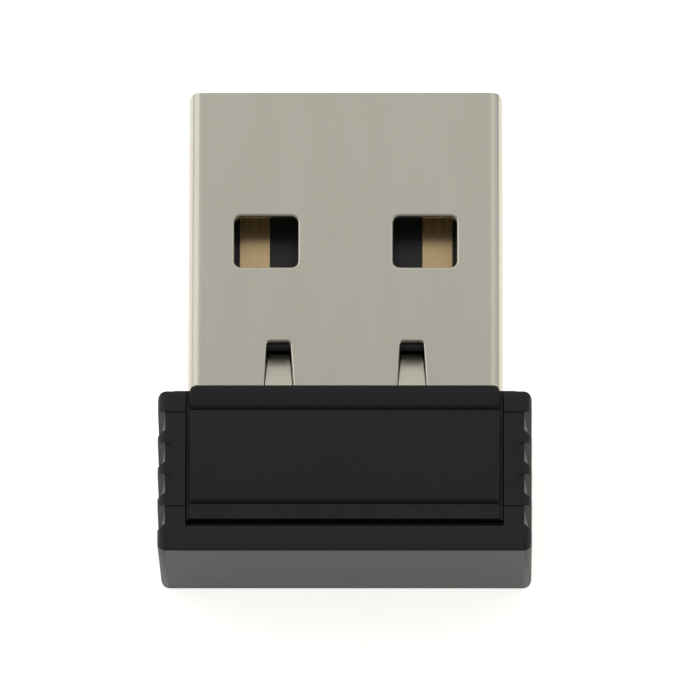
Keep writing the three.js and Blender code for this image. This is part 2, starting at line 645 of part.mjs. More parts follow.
/** A finger notch in the edge of an arm: it deepens down the side wall and ends in a short run-out. */
function notchCutter(hand, side, y) {
  const out = hand * (HALF_HOUSING + PAST);
  const above = fromMiddle(side, HALF_THICKNESS + PAST);
  const slice = (at, inset, tall) => [
    [hand * (HALF_HOUSING - inset), at, above],
    [hand * (HALF_HOUSING - inset), at, fromMiddle(side, HALF_THICKNESS)],
    [hand * HALF_HOUSING, at, fromMiddle(side, HALF_THICKNESS - tall)],
    [out, at, fromMiddle(side, HALF_THICKNESS - tall)],
    [out, at, above],
  ];
  const end = y - NOTCH_LENGTH;
  const deep = slice(end, NOTCH_INSET, NOTCH_TALL);
  return join([
    hull([...slice(y, NOTCH_INSET, NOTCH_SHALLOW), ...deep]),
    hull([...deep, ...slice(end - NOTCH_RUNOUT, 0, NOTCH_TALL)]),
  ]);
}

/** The step in an arm's face at a notch. It ramps up again, and the middle ones stay near the edge. */
function stepCutter(hand, side, y, pitch, wide) {
  const inner = wide ? HALF_SLOT - PAST : HALF_HOUSING - SCOOP_WIDTH;
  const ramp = [fromMiddle(side, HALF_THICKNESS), y - pitch + NOTCH_RUNOUT];
  const low = fromMiddle(side, HALF_THICKNESS - STEP_DEPTH);
  const high = fromMiddle(side, HALF_THICKNESS + PAST);
  const edge = hand * (HALF_HOUSING + PAST);
  const tuck = hand * (wide ? inner : inner + SCOOP_WIDTH / 2);
  return hull([
    [hand * inner, y, low], [edge, y, low], [tuck, ramp[1], ramp[0]], [edge, ramp[1], ramp[0]],
    [hand * inner, y, high], [edge, y, high], [tuck, ramp[1], high], [edge, ramp[1], high],
  ]);
}

function outerCap() {
  const plan = roundedRectangle([-HALF_HOUSING, HALF_HOUSING], [END_Y, ARM_Y], CAP_CORNER);
  const body = toSolid(new THREE.ExtrudeGeometry(plan, {
    depth: 2 * (HALF_THICKNESS - CAP_EDGE),
    bevelThickness: CAP_EDGE,
    bevelSize: CAP_EDGE,
    bevelOffset: -CAP_EDGE,
    bevelSegments: 2,
    curveSegments: ARC_STEPS,
  }).translate(0, 0, CAP_EDGE));
  const cavity = block([-HALF_CAVITY, HALF_CAVITY], [END_Y + CAP_END_WALL, ARM_Y + PAST],
    [fromMiddle(REAR, CAVITY_HEIGHT), fromMiddle(FRONT, CAVITY_HEIGHT)]);
  const slot = block([-HALF_SLOT, HALF_SLOT], [END_Y + END_BAND, ARM_Y + PAST],
    [-PAST, 2 * HALF_THICKNESS + PAST]);
  const starts = notchStarts();
  const pitch = starts[0] - starts[1];
  const cutters = [];
  for (const hand of BOTH_SIDES) {
    for (const side of [FRONT, REAR]) {
      starts.forEach((y, i) => {
        const wide = i === 0 || i === NOTCHES - 1;
        cutters.push(notchCutter(hand, side, y), stepCutter(hand, side, y, pitch, wide));
      });
      cutters.push(snapBlock(hand, side, SNAP_FIT));
    }
  }
  return cut(body, [cavity, slot, ...cutters]);
}

// ---------------------------------------------------------------- materials and assembly

/** A material of the part's own colour, roughness and metalness. */
function finish(color, roughness, metalness) {
  return () => new THREE.MeshStandardMaterial({ color, roughness, metalness, flatShading: true });
}

const SATIN_STEEL = finish(0xa9a798, 0.32, 1);
const BLACK_PLASTIC = finish(0x262628, 0.45, 0);
const BLACK_INSULATOR = finish(0x1a1b1a, 0.5, 0);
const SOLDER_MASK = finish(0x16201b, 0.4, 0);
const GOLD_PLATE = finish(0xc9a45c, 0.28, 1);
const COPPER_PLATE = finish(0xb87a4b, 0.35, 1);
const SOLDER = finish(0xb9bbbd, 0.3, 1);
const CHIP_RESIN = finish(0x1c1c1e, 0.6, 0);
const CERAMIC_TAN = finish(0x9a7b58, 0.5, 0);
const CERAMIC_WHITE = finish(0xd8d4c8, 0.5, 0);
const RESISTOR_BLACK = finish(0x222326, 0.4, 0);
const FERRITE = finish(0x3a3a3d, 0.6, 0);
const LID_METAL = finish(0xc4c4c0, 0.3, 1);

/** The small parts of the board's lower face, inside the insulator's pocket. */
const underParts = {
  bypass_capacitor_left: { ...SMALL, x: -BYPASS_X, from: BYPASS_FROM, turned: true, skin: CERAMIC_TAN },
  bypass_capacitor_right: { ...SMALL, x: BYPASS_X, from: BYPASS_FROM, turned: true, skin: CERAMIC_TAN },
  bypass_capacitor_middle: { ...SMALL, ...BYPASS_MIDDLE, skin: CERAMIC_TAN },
  crystal_capacitor_left: { ...SMALL, x: LOAD_X[0], from: LOAD_FROM, skin: CERAMIC_TAN },
  crystal_capacitor_right: { ...SMALL, x: LOAD_X[1], from: LOAD_FROM, skin: CERAMIC_TAN },
  bias_resistor: { ...FLAT, x: RESISTOR_X, from: RESISTORS_FROM[0], skin: RESISTOR_BLACK },
  pull_up_resistor: { ...FLAT, x: RESISTOR_X, from: RESISTORS_FROM[1], skin: RESISTOR_BLACK },
};

/** The small parts of its upper face, inside the housing. */
const upperParts = {
  supply_capacitor_input: { ...LARGE, x: SUPPLY_X, from: SUPPLY_FROM[0], skin: CERAMIC_TAN },
  supply_capacitor_output: { ...LARGE, x: SUPPLY_X, from: SUPPLY_FROM[1], skin: CERAMIC_TAN },
  matching_capacitor: { ...SMALL, x: MATCHING_X, from: MATCHING_FROM[0], skin: CERAMIC_TAN },
  matching_inductor: { ...SMALL, x: MATCHING_X, from: MATCHING_FROM[1], skin: CERAMIC_WHITE },
  usb_resistor: { ...FLAT, x: MATCHING_X, from: MATCHING_FROM[2], skin: RESISTOR_BLACK },
};

const adapter = new THREE.Group();

/** Adds a piece to the adapter under its own name. */
function place(name, solid, skin) {
  const mesh = new THREE.Mesh(toGeometry(solid), skin());
  mesh.name = name;
  adapter.add(mesh);
}

place('plug_shell', plugShell(), SATIN_STEEL);
place('plug_carrier', plugCarrier(), BLACK_INSULATOR);
place('circuit_board', circuitBoard(), SOLDER_MASK);
place('contact_power', contactPad(OUTER_CONTACT_SPACING / 2, OUTER_CONTACT_LENGTH), GOLD_PLATE);
place('contact_data_minus', contactPad(INNER_CONTACT_SPACING / 2, INNER_CONTACT_LENGTH), GOLD_PLATE);
place('contact_data_plus', contactPad(-INNER_CONTACT_SPACING / 2, INNER_CONTACT_LENGTH), GOLD_PLATE);
place('contact_ground', contactPad(-OUTER_CONTACT_SPACING / 2, OUTER_CONTACT_LENGTH), GOLD_PLATE);
place('wifi_chip', wifiChip(), CHIP_RESIN);
place('crystal_base', crystalBase(), CERAMIC_WHITE);
place('crystal_lid', crystalLid(), LID_METAL);
place('power_inductor', powerInductor(), FERRITE);
place('antenna_trace', antennaTrace(), COPPER_PLATE);
for (const [name, part] of Object.entries(underParts)) {
  place(name, twoEndedPart({ ...part, under: true }), part.skin);
}
for (const [name, part] of Object.entries(upperParts)) {
  place(name, twoEndedPart(part), part.skin);
}
place('solder_joint_left', solderJoint(-1), SOLDER);
place('solder_joint_right', solderJoint(1), SOLDER);
place('inner_shell_front', innerShell(FRONT), BLACK_PLASTIC);
place('inner_shell_rear', innerShellRear(), BLACK_PLASTIC);
place('outer_cap', outerCap(), BLACK_PLASTIC);

export default adapter;
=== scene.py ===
"""The looks of a nano USB wireless adapter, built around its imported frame.

The plug is a folded steel shell round a moulded insulator. It holds a printed board with its contacts
and small parts. Two inner half shells clamp them and slide into the outer grip cap. Every solid is
shaped in millimetres in the frame's own axes: +X across the plug, +Y out of its mouth and +Z out of
the face with the hollow over the contacts. It is brought to metres when the piece is finished.
"""

import logging
import math
from collections.abc import Iterable, Sequence
from dataclasses import dataclass
from enum import Enum

import bmesh
import bpy
from mathutils import Matrix, Vector


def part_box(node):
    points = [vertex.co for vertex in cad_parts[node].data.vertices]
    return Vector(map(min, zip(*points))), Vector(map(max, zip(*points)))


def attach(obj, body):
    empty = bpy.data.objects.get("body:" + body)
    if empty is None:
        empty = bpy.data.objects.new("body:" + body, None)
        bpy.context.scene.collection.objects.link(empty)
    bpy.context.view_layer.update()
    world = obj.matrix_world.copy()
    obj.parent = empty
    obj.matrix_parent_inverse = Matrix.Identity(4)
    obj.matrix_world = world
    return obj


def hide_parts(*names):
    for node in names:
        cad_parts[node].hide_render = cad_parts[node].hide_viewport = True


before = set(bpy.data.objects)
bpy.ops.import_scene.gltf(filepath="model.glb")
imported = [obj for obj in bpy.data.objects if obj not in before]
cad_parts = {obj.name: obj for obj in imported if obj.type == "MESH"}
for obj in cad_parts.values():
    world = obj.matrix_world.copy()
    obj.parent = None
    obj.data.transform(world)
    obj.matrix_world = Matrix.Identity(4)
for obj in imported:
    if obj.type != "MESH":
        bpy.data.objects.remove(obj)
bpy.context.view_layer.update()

LOG = logging.getLogger("adapter")

METRES_PER_MM = 0.001
NEAR = 1e-3  # how far from a plane an edge may lie and still count as on it
PAST = 1.0  # how far a cutter runs past what it cuts
SHARP_ANGLE = math.radians(35)  # a steeper edge is shaded as a corner
ROUNDED_ANGLE = math.radians(10)  # a flatter edge isn't rounded
FLAT_ANGLE = math.radians(0.5)  # faces that differ by less are one face
BODY = "root"

Span = tuple[float, float]
Size = tuple[float, float, float]


class Side(Enum):
    """The two broad sides of the adapter."""

    FRONT = 1
    REAR = -1


class Hand(Enum):
    """The two ends of the adapter's width."""

    LEFT = -1
    RIGHT = 1


class Slot(Enum):
    """The material slots of the record."""

    PLUG_STEEL = "plug_steel"
    INSULATOR = "insulator"
    BOARD = "board"
    CONTACT_GOLD = "contact_gold"
    CHIP_RESIN = "chip_resin"
    CRYSTAL_CERAMIC = "crystal_ceramic"
    CRYSTAL_METAL = "crystal_metal"
    FERRITE = "ferrite"
    ANTENNA_GOLD = "antenna_gold"
    CAPACITOR_CERAMIC = "capacitor_ceramic"
    RESISTOR = "resistor"
    INDUCTOR_CERAMIC = "inductor_ceramic"
    SOLDER = "solder"
    HOUSING_PLASTIC = "housing_plastic"


class Operation(Enum):
    """What one solid does to another."""

    CARVE = "DIFFERENCE"
    FUSE = "UNION"
    TRIM = "INTERSECT"


# ---------------------------------------------------------------- materials


def linear(hex_colour: str) -> tuple[float, float, float, float]:
    """The linear colour of an sRGB hex value.

    Args:
        hex_colour: The colour as "#rrggbb".

    Returns:
        Its red, green, blue and alpha.
    """
    channels = [int(hex_colour[i:i + 2], 16) / 255 for i in (1, 3, 5)]
    knee, slope, offset, power = 0.04045, 12.92, 0.055, 2.4
    lit = [c / slope if c <= knee else ((c + offset) / (1 + offset)) ** power for c in channels]
    return lit[0], lit[1], lit[2], 1.0


def add_node(tree: bpy.types.NodeTree, kind: str, inputs: dict | None = None,
             **settings: object) -> bpy.types.Node:
    """Adds a node with its settings, and sets or links its inputs.

    Args:
        tree: The node tree it goes into.
        kind: The node's type name.
        inputs: A value or an output socket for each input, by its name or number.
        **settings: The node's own properties.

    Returns:
        The new node.
    """
    node = tree.nodes.new(kind)
    for name, value in settings.items():
        setattr(node, name, value)
    for name, value in (inputs or {}).items():
        socket = node.inputs[name]
        if isinstance(value, bpy.types.NodeSocket):
            tree.links.new(value, socket)
        else:
            socket.default_value = value
    return node


@dataclass(frozen=True)
class Finish:
    """What a surface is made of, how it was made, and how uneven that leaves it."""

    name: str
    colour: str
    second_colour: str  # the other end of the colour's drift
    roughness: Span
    patch: Size = (3.0, 3.0, 3.0)  # millimetres of the drift along each axis
    grain: Size = (0.12, 0.12, 0.12)  # millimetres of the surface's texture along each axis
    grain_depth: float = 0.002  # millimetres
    metallic: float = 0.0
    ior: float = 1.5

    def material(self) -> bpy.types.Material:
        """The finish's material, which is built the first time it is asked for."""
        material = bpy.data.materials.get(self.name)
        if material is None:
            material = bpy.data.materials.new(self.name)
            material.use_nodes = True
            shader = material.node_tree.nodes["Principled BSDF"]
            shader.inputs["Metallic"].default_value = self.metallic
            if not self.metallic:
                shader.inputs["IOR"].default_value = self.ior
            self.dress(material.node_tree, shader)
        return material

    def noise(self, tree: bpy.types.NodeTree, size: Size, detail: float = 2.0) -> bpy.types.NodeSocket:
        """An uneven pattern in the piece's own space.

        Args:
            tree: The material's node tree.
            size: The size of its patches along each axis, in millimetres.
            detail: How many finer layers lie on it.

        Returns:
            The socket with its height, from 0 to 1.
        """
        place = add_node(tree, "ShaderNodeTexCoord")
        scale = [1 / (length * METRES_PER_MM) for length in size]
        spread = add_node(tree, "ShaderNodeMapping", {"Vector": place.outputs["Object"], "Scale": scale})
        pattern = add_node(tree, "ShaderNodeTexNoise",
                           {"Vector": spread.outputs["Vector"], "Scale": 1.0, "Detail": detail})
        return pattern.outputs["Fac"]

    def dress(self, tree: bpy.types.NodeTree, shader: bpy.types.Node) -> None:
        """Links the colour's drift, the uneven gloss and the texture to the shader.

        Args:
            tree: The material's node tree.
            shader: Its principled shader.
        """
        drift = self.noise(tree, self.patch)
        texture = self.noise(tree, self.grain)
        colour = add_node(tree, "ShaderNodeMix", {
            "Factor": drift, "A": linear(self.colour), "B": linear(self.second_colour),
        }, data_type="RGBA")
        gloss = add_node(tree, "ShaderNodeMapRange", {
            "Value": texture, "To Min": self.roughness[0], "To Max": self.roughness[1],
        })
        relief = add_node(tree, "ShaderNodeBump", {
            "Height": texture, "Distance": self.grain_depth * METRES_PER_MM, "Strength": 1.0,
        })
        tree.links.new(colour.outputs["Result"], shader.inputs["Base Color"])
        tree.links.new(gloss.outputs["Result"], shader.inputs["Roughness"])
        tree.links.new(relief.outputs["Normal"], shader.inputs["Normal"])


# Injection moulded in a finely spark-eroded tool: black, with wide soft highlights. The tool's pits are
# about 0.03 mm across and are drawn four times as wide, so that they show.
MOULDED_ABS = Finish(
    "black_moulded_abs", "#0c0c0d", "#111112", (0.48, 0.60), ior=1.45, grain_depth=0.0015)
# Rolled sheet under a thin nickel plating: a warm satin grey that smears reflections across the rolling
# lines. The lines are about 0.02 mm wide and are drawn five times as wide, so that they show.
SATIN_NICKEL_STEEL = Finish(
    "nickel_plated_rolled_steel", "#d3cfc2", "#cbc7b9", (0.24, 0.32), patch=(1.4, 6.0, 1.4),
    grain=(0.10, 3.0, 0.10), grain_depth=0.0004, metallic=1.0)
# Moulded with short glass fibres, which lie along the flow: dull black with a faint lengthwise streak.
# The fibres are 0.01 mm thick and are drawn eight times as thick, so that they show.
FILLED_NYLON = Finish(
    "black_glass_filled_nylon", "#141513", "#1b1c1a", (0.42, 0.55), grain=(0.08, 0.25, 0.08))
# Cured lacquer over a woven glass laminate: greenish black with a slight gloss. Its drift has the size of
# the weave's 0.4 mm squares.
SOLDER_MASK = Finish(
    "dark_solder_mask_on_laminate", "#0e1411", "#131b17", (0.25, 0.34), patch=(0.4, 0.4, 0.4))
# Plated on rolled copper and wiped by other contacts: pale gold with fine lengthwise lines. They are
# about 0.01 mm wide and are drawn five times as wide, so that they show.
CONTACT_GOLD = Finish(
    "hard_gold_plated_copper", "#d9be92", "#cdb084", (0.22, 0.32), patch=(0.8, 2.5, 0.8),
    grain=(0.05, 1.2, 0.05), grain_depth=0.0003, metallic=1.0)
# Dipped over etched copper: a deeper, slightly grainy gold. The etched grain is about 0.01 mm across and
# is drawn six times as coarse, so that it shows.
TRACE_GOLD = Finish(
    "immersion_gold_over_copper", "#cf9a5c", "#c58a4c", (0.30, 0.42), patch=(0.6, 0.6, 0.6),
    grain=(0.06, 0.06, 0.06), grain_depth=0.0006, metallic=1.0)
# Moulded with silica grains up to 0.07 mm across, which dull its dark grey evenly.
CHIP_EPOXY = Finish(
    "moulded_chip_epoxy", "#1e1e20", "#252527", (0.52, 0.66), grain=(0.07, 0.07, 0.07))
# Pressed and fired white ceramic: no shine, and faint cream patches where it fired unevenly.
ALUMINA = Finish(
    "white_fired_alumina", "#d9d5c9", "#cfcabb", (0.45, 0.58), patch=(0.5, 0.5, 0.5),
    grain=(0.05, 0.05, 0.05))
# Stamped from rolled sheet and plated: bright grey with short lines from the rolls.
LID_NICKEL = Finish(
    "nickel_plated_stamped_lid", "#c6c5bf", "#bdbcb5", (0.22, 0.34), patch=(0.6, 0.6, 0.6),
    grain=(0.04, 0.4, 0.04), grain_depth=0.0004, metallic=1.0)
# Pressed powder, fired until it set: matte dark grey with open pores of about 0.05 mm.
FERRITE = Finish(
    "sintered_ferrite", "#36363a", "#2c2c30", (0.5, 0.68), patch=(0.3, 0.3, 0.3),
    grain=(0.05, 0.05, 0.05), grain_depth=0.004)
# Drawn copper under clear enamel: a glossy reddish brown.
WINDING = Finish(
    "enamelled_copper_wire", "#a85f32", "#96512a", (0.24, 0.36), patch=(0.4, 0.4, 0.4), metallic=1.0)
# Cast in layers and fired: half-matte tan, a little lighter and darker in patches.
TITANATE = Finish(
    "tan_barium_titanate_ceramic", "#9a7b58", "#8d6f4d", (0.42, 0.56), patch=(0.3, 0.3, 0.3),
    grain=(0.04, 0.04, 0.04))
# Printed glass, melted over the resistive film: black and fairly glossy.
RESISTOR_GLAZE = Finish(
    "black_overglaze_on_alumina", "#1d1e21", "#26272b", (0.3, 0.42), patch=(0.2, 0.2, 0.2))
# Metal paste fired on and plated with tin: dull silver with a slightly lumpy surface.
TINNED = Finish(
    "fired_tin_termination", "#c2c3c3", "#b4b5b6", (0.3, 0.46), patch=(0.2, 0.2, 0.2),
    grain=(0.05, 0.05, 0.05), grain_depth=0.002, metallic=1.0)
# Melted and set again where it lies: bright grey with the slight ripple of a skin that shrank.
SOLDER_ALLOY = Finish(
    "reflowed_tin_solder", "#bcbdbf", "#a9abad", (0.2, 0.42), patch=(0.25, 0.25, 0.25),
    grain=(0.09, 0.09, 0.09), grain_depth=0.003, metallic=1.0)


# ---------------------------------------------------------------- solids


@dataclass(frozen=True)
class Extent:
    """The box that a CAD node fills, in millimetres."""

    low: Vector
    high: Vector

    @classmethod
    def of(cls, node: str) -> "Extent":
        """The box of the named node."""
        low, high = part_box(node)
        return cls(low / METRES_PER_MM, high / METRES_PER_MM)

    def span(self, axis: int) -> Span:
        """Its two ends along an axis."""
        return self.low[axis], self.high[axis]

    @property
    def spans(self) -> tuple[Span, Span, Span]:
        """Its two ends along X, Y and Z."""
        return self.span(0), self.span(1), self.span(2)

    @property
    def middle(self) -> Vector:
        """The point in its middle."""
        return (self.low + self.high) / 2


@dataclass(frozen=True)
class Planes:
    """A choice of edges: each lies on one of the planes given for every axis that has any."""

    x: tuple[float, ...] = ()
    y: tuple[float, ...] = ()
    z: tuple[float, ...] = ()

    def takes(self, edge: bmesh.types.BMEdge) -> bool:
        """Whether the edge is sharp and lies on those planes."""
        for axis, planes in enumerate((self.x, self.y, self.z)):
            near = [all(abs(v.co[axis] - plane) < NEAR for v in edge.verts) for plane in planes]
            if planes and not any(near):
                return False
        return edge.calc_face_angle(0.0) > ROUNDED_ANGLE


class Solid:
    """A closed mesh in millimetres, shaped with bmesh operators."""

    def __init__(self) -> None:
        """An empty solid."""
        self.mesh = bmesh.new()

    @classmethod
    def block(cls, xs: Span, ys: Span, zs: Span) -> "Solid":
        """A rectangular block between two places along each axis, in either order."""
        solid = cls()
        low = Vector(min(span) for span in (xs, ys, zs))
        high = Vector(max(span) for span in (xs, ys, zs))
        bmesh.ops.create_cube(solid.mesh, size=1.0,
                              matrix=Matrix.LocRotScale((low + high) / 2, None, high - low))
        return solid

    @classmethod
    def hull(cls, points: Iterable[Sequence[float]]) -> "Solid":
        """The convex solid around some points."""
        solid = cls()
        verts = [solid.mesh.verts.new(point) for point in points]
        made = bmesh.ops.convex_hull(solid.mesh, input=verts)
        inside = [v for v in made["geom_interior"] if isinstance(v, bmesh.types.BMVert)]
        bmesh.ops.delete(solid.mesh, geom=inside, context="VERTS")
        bmesh.ops.recalc_face_normals(solid.mesh, faces=solid.mesh.faces)
        return solid

    @classmethod
    def post(cls, centre: Sequence[float], radius: float, height: float, sides: int = 24) -> "Solid":
        """An upright round post.

        Args:
            centre: The post's middle.
            radius: Its radius.
            height: Its height along Z.
            sides: How many flat sides it has.

        Returns:
            The post.
        """
        solid = cls()
        bmesh.ops.create_cone(solid.mesh, cap_ends=True, segments=sides, radius1=radius,
                              radius2=radius, depth=height, matrix=Matrix.Translation(centre))
        return solid

    def soften(self, planes: Planes, width: float, segments: int = 3, profile: float = 0.5) -> "Solid":
        """Rounds the edges that lie on some planes.

        Args:
            planes: Where the edges lie.
            width: How far the rounding reaches from the edge.
            segments: How many strips it has.
            profile: 0.5 for round, more for fuller and less for hollow.

        Returns:
            This solid.
        """
        edges = [edge for edge in self.mesh.edges if planes.takes(edge)]
        bmesh.ops.bevel(self.mesh, geom=edges, affect="EDGES", offset=width, segments=segments,
                        profile=profile, material=-1, clamp_overlap=True)
        return self

    def to_object(self, name: str, scale: float = 1.0) -> bpy.types.Object:
        """A linked object with a copy of this mesh.

        Args:
            name: The object's name.
            scale: What the mesh is multiplied by.

        Returns:
            The object, at the origin.
        """
        mesh = bpy.data.meshes.new(name)
        copy = self.mesh.copy()
        bmesh.ops.scale(copy, vec=Vector((scale, scale, scale)), verts=copy.verts)
        copy.to_mesh(mesh)
        copy.free()
        obj = bpy.data.objects.new(name, mesh)
        bpy.context.scene.collection.objects.link(obj)
        return obj

    def combine(self, operation: Operation, others: Iterable["Solid"]) -> "Solid":
        """Joins other solids to this one, or cuts or trims it by them.

        Args:
            operation: What the others do to this solid.
            others: The other solids, used one after another.

        Returns:
            This solid.
        """
        target = self.to_object("work")
        tools = [other.to_object("tool") for other in others]
        for tool in tools:
            step = target.modifiers.new(operation.name, "BOOLEAN")
            step.operation = operation.value
            step.solver = "MANIFOLD"
            step.object = tool
        graph = bpy.context.evaluated_depsgraph_get()
        result = bpy.data.meshes.new_from_object(target.evaluated_get(graph))
        self.mesh.clear()
        self.mesh.from_mesh(result)
        bpy.data.meshes.remove(result)
        for obj in (target, *tools):
            mesh = obj.data
            bpy.data.objects.remove(obj)
            bpy.data.meshes.remove(mesh)
        return self.merge_flats()

    def merge_flats(self, reach: float = NEAR / 10) -> "Solid":
        """Merges doubled vertices and the faces that lie in one plane.

        Args:
            reach: How far apart two vertices may lie and still count as one.

        Returns:
            This solid.
        """
        bmesh.ops.remove_doubles(self.mesh, verts=self.mesh.verts, dist=reach)
        bmesh.ops.dissolve_degenerate(self.mesh, dist=reach, edges=self.mesh.edges)
        bmesh.ops.dissolve_limit(self.mesh, angle_limit=FLAT_ANGLE, verts=self.mesh.verts,
                                 edges=self.mesh.edges, delimit={"MATERIAL"})
        return self

    def mirrored(self, axis: int, plane: float = 0.0) -> "Solid":
        """A copy on the other side of a plane.

        Args:
            axis: The axis that the plane is square to.
            plane: Where it crosses that axis.

        Returns:
            The copy, with its faces pointing outwards.
        """
        other = Solid()
        other.mesh = self.mesh.copy()
        flip = Vector((1.0, 1.0, 1.0))
        flip[axis] = -1.0
        move = Vector((0.0, 0.0, 0.0))
        move[axis] = 2 * plane
        bmesh.ops.scale(other.mesh, vec=flip, verts=other.mesh.verts)
        bmesh.ops.translate(other.mesh, vec=move, verts=other.mesh.verts)
        bmesh.ops.reverse_faces(other.mesh, faces=other.mesh.faces)
        return other

    def absorb(self, other: "Solid", material: int = 0) -> "Solid":
        """Adds another closed shell to this mesh, with its own material.

        Args:
            other: The shell.
            material: The number of its material.

        Returns:
            This solid.
        """
        for face in other.mesh.faces:
            face.material_index = material
        mesh = bpy.data.meshes.new("shell")
        other.mesh.to_mesh(mesh)
        self.mesh.from_mesh(mesh)
        bpy.data.meshes.remove(mesh)
        return self

    def finish(self, node: str, slot: Slot, *finishes: Finish) -> bpy.types.Object:
        """Makes the piece that stands for a CAD node.

        Args:
            node: The node's name.
            slot: The record's material slot; not used.
            *finishes: Its finishes, in the order of their numbers.

        Returns:
            The piece.
        """
        name = f"{node}_finished"
        self.merge_flats()
        piece = self.to_object(name, METRES_PER_MM)
        self.mesh.free()
        for finish in finishes:
            piece.data.materials.append(finish.material())
        piece.data.shade_smooth()
        piece.data.set_sharp_from_angle(angle=SHARP_ANGLE)
        normals = piece.modifiers.new("flat_faces_stay_flat", "WEIGHTED_NORMAL")
        normals.keep_sharp = True
        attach(piece, BODY)
        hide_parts(node)
        LOG.info("%s: %d faces", name, len(piece.data.polygons))
        return piece


# ---------------------------------------------------------------- plug


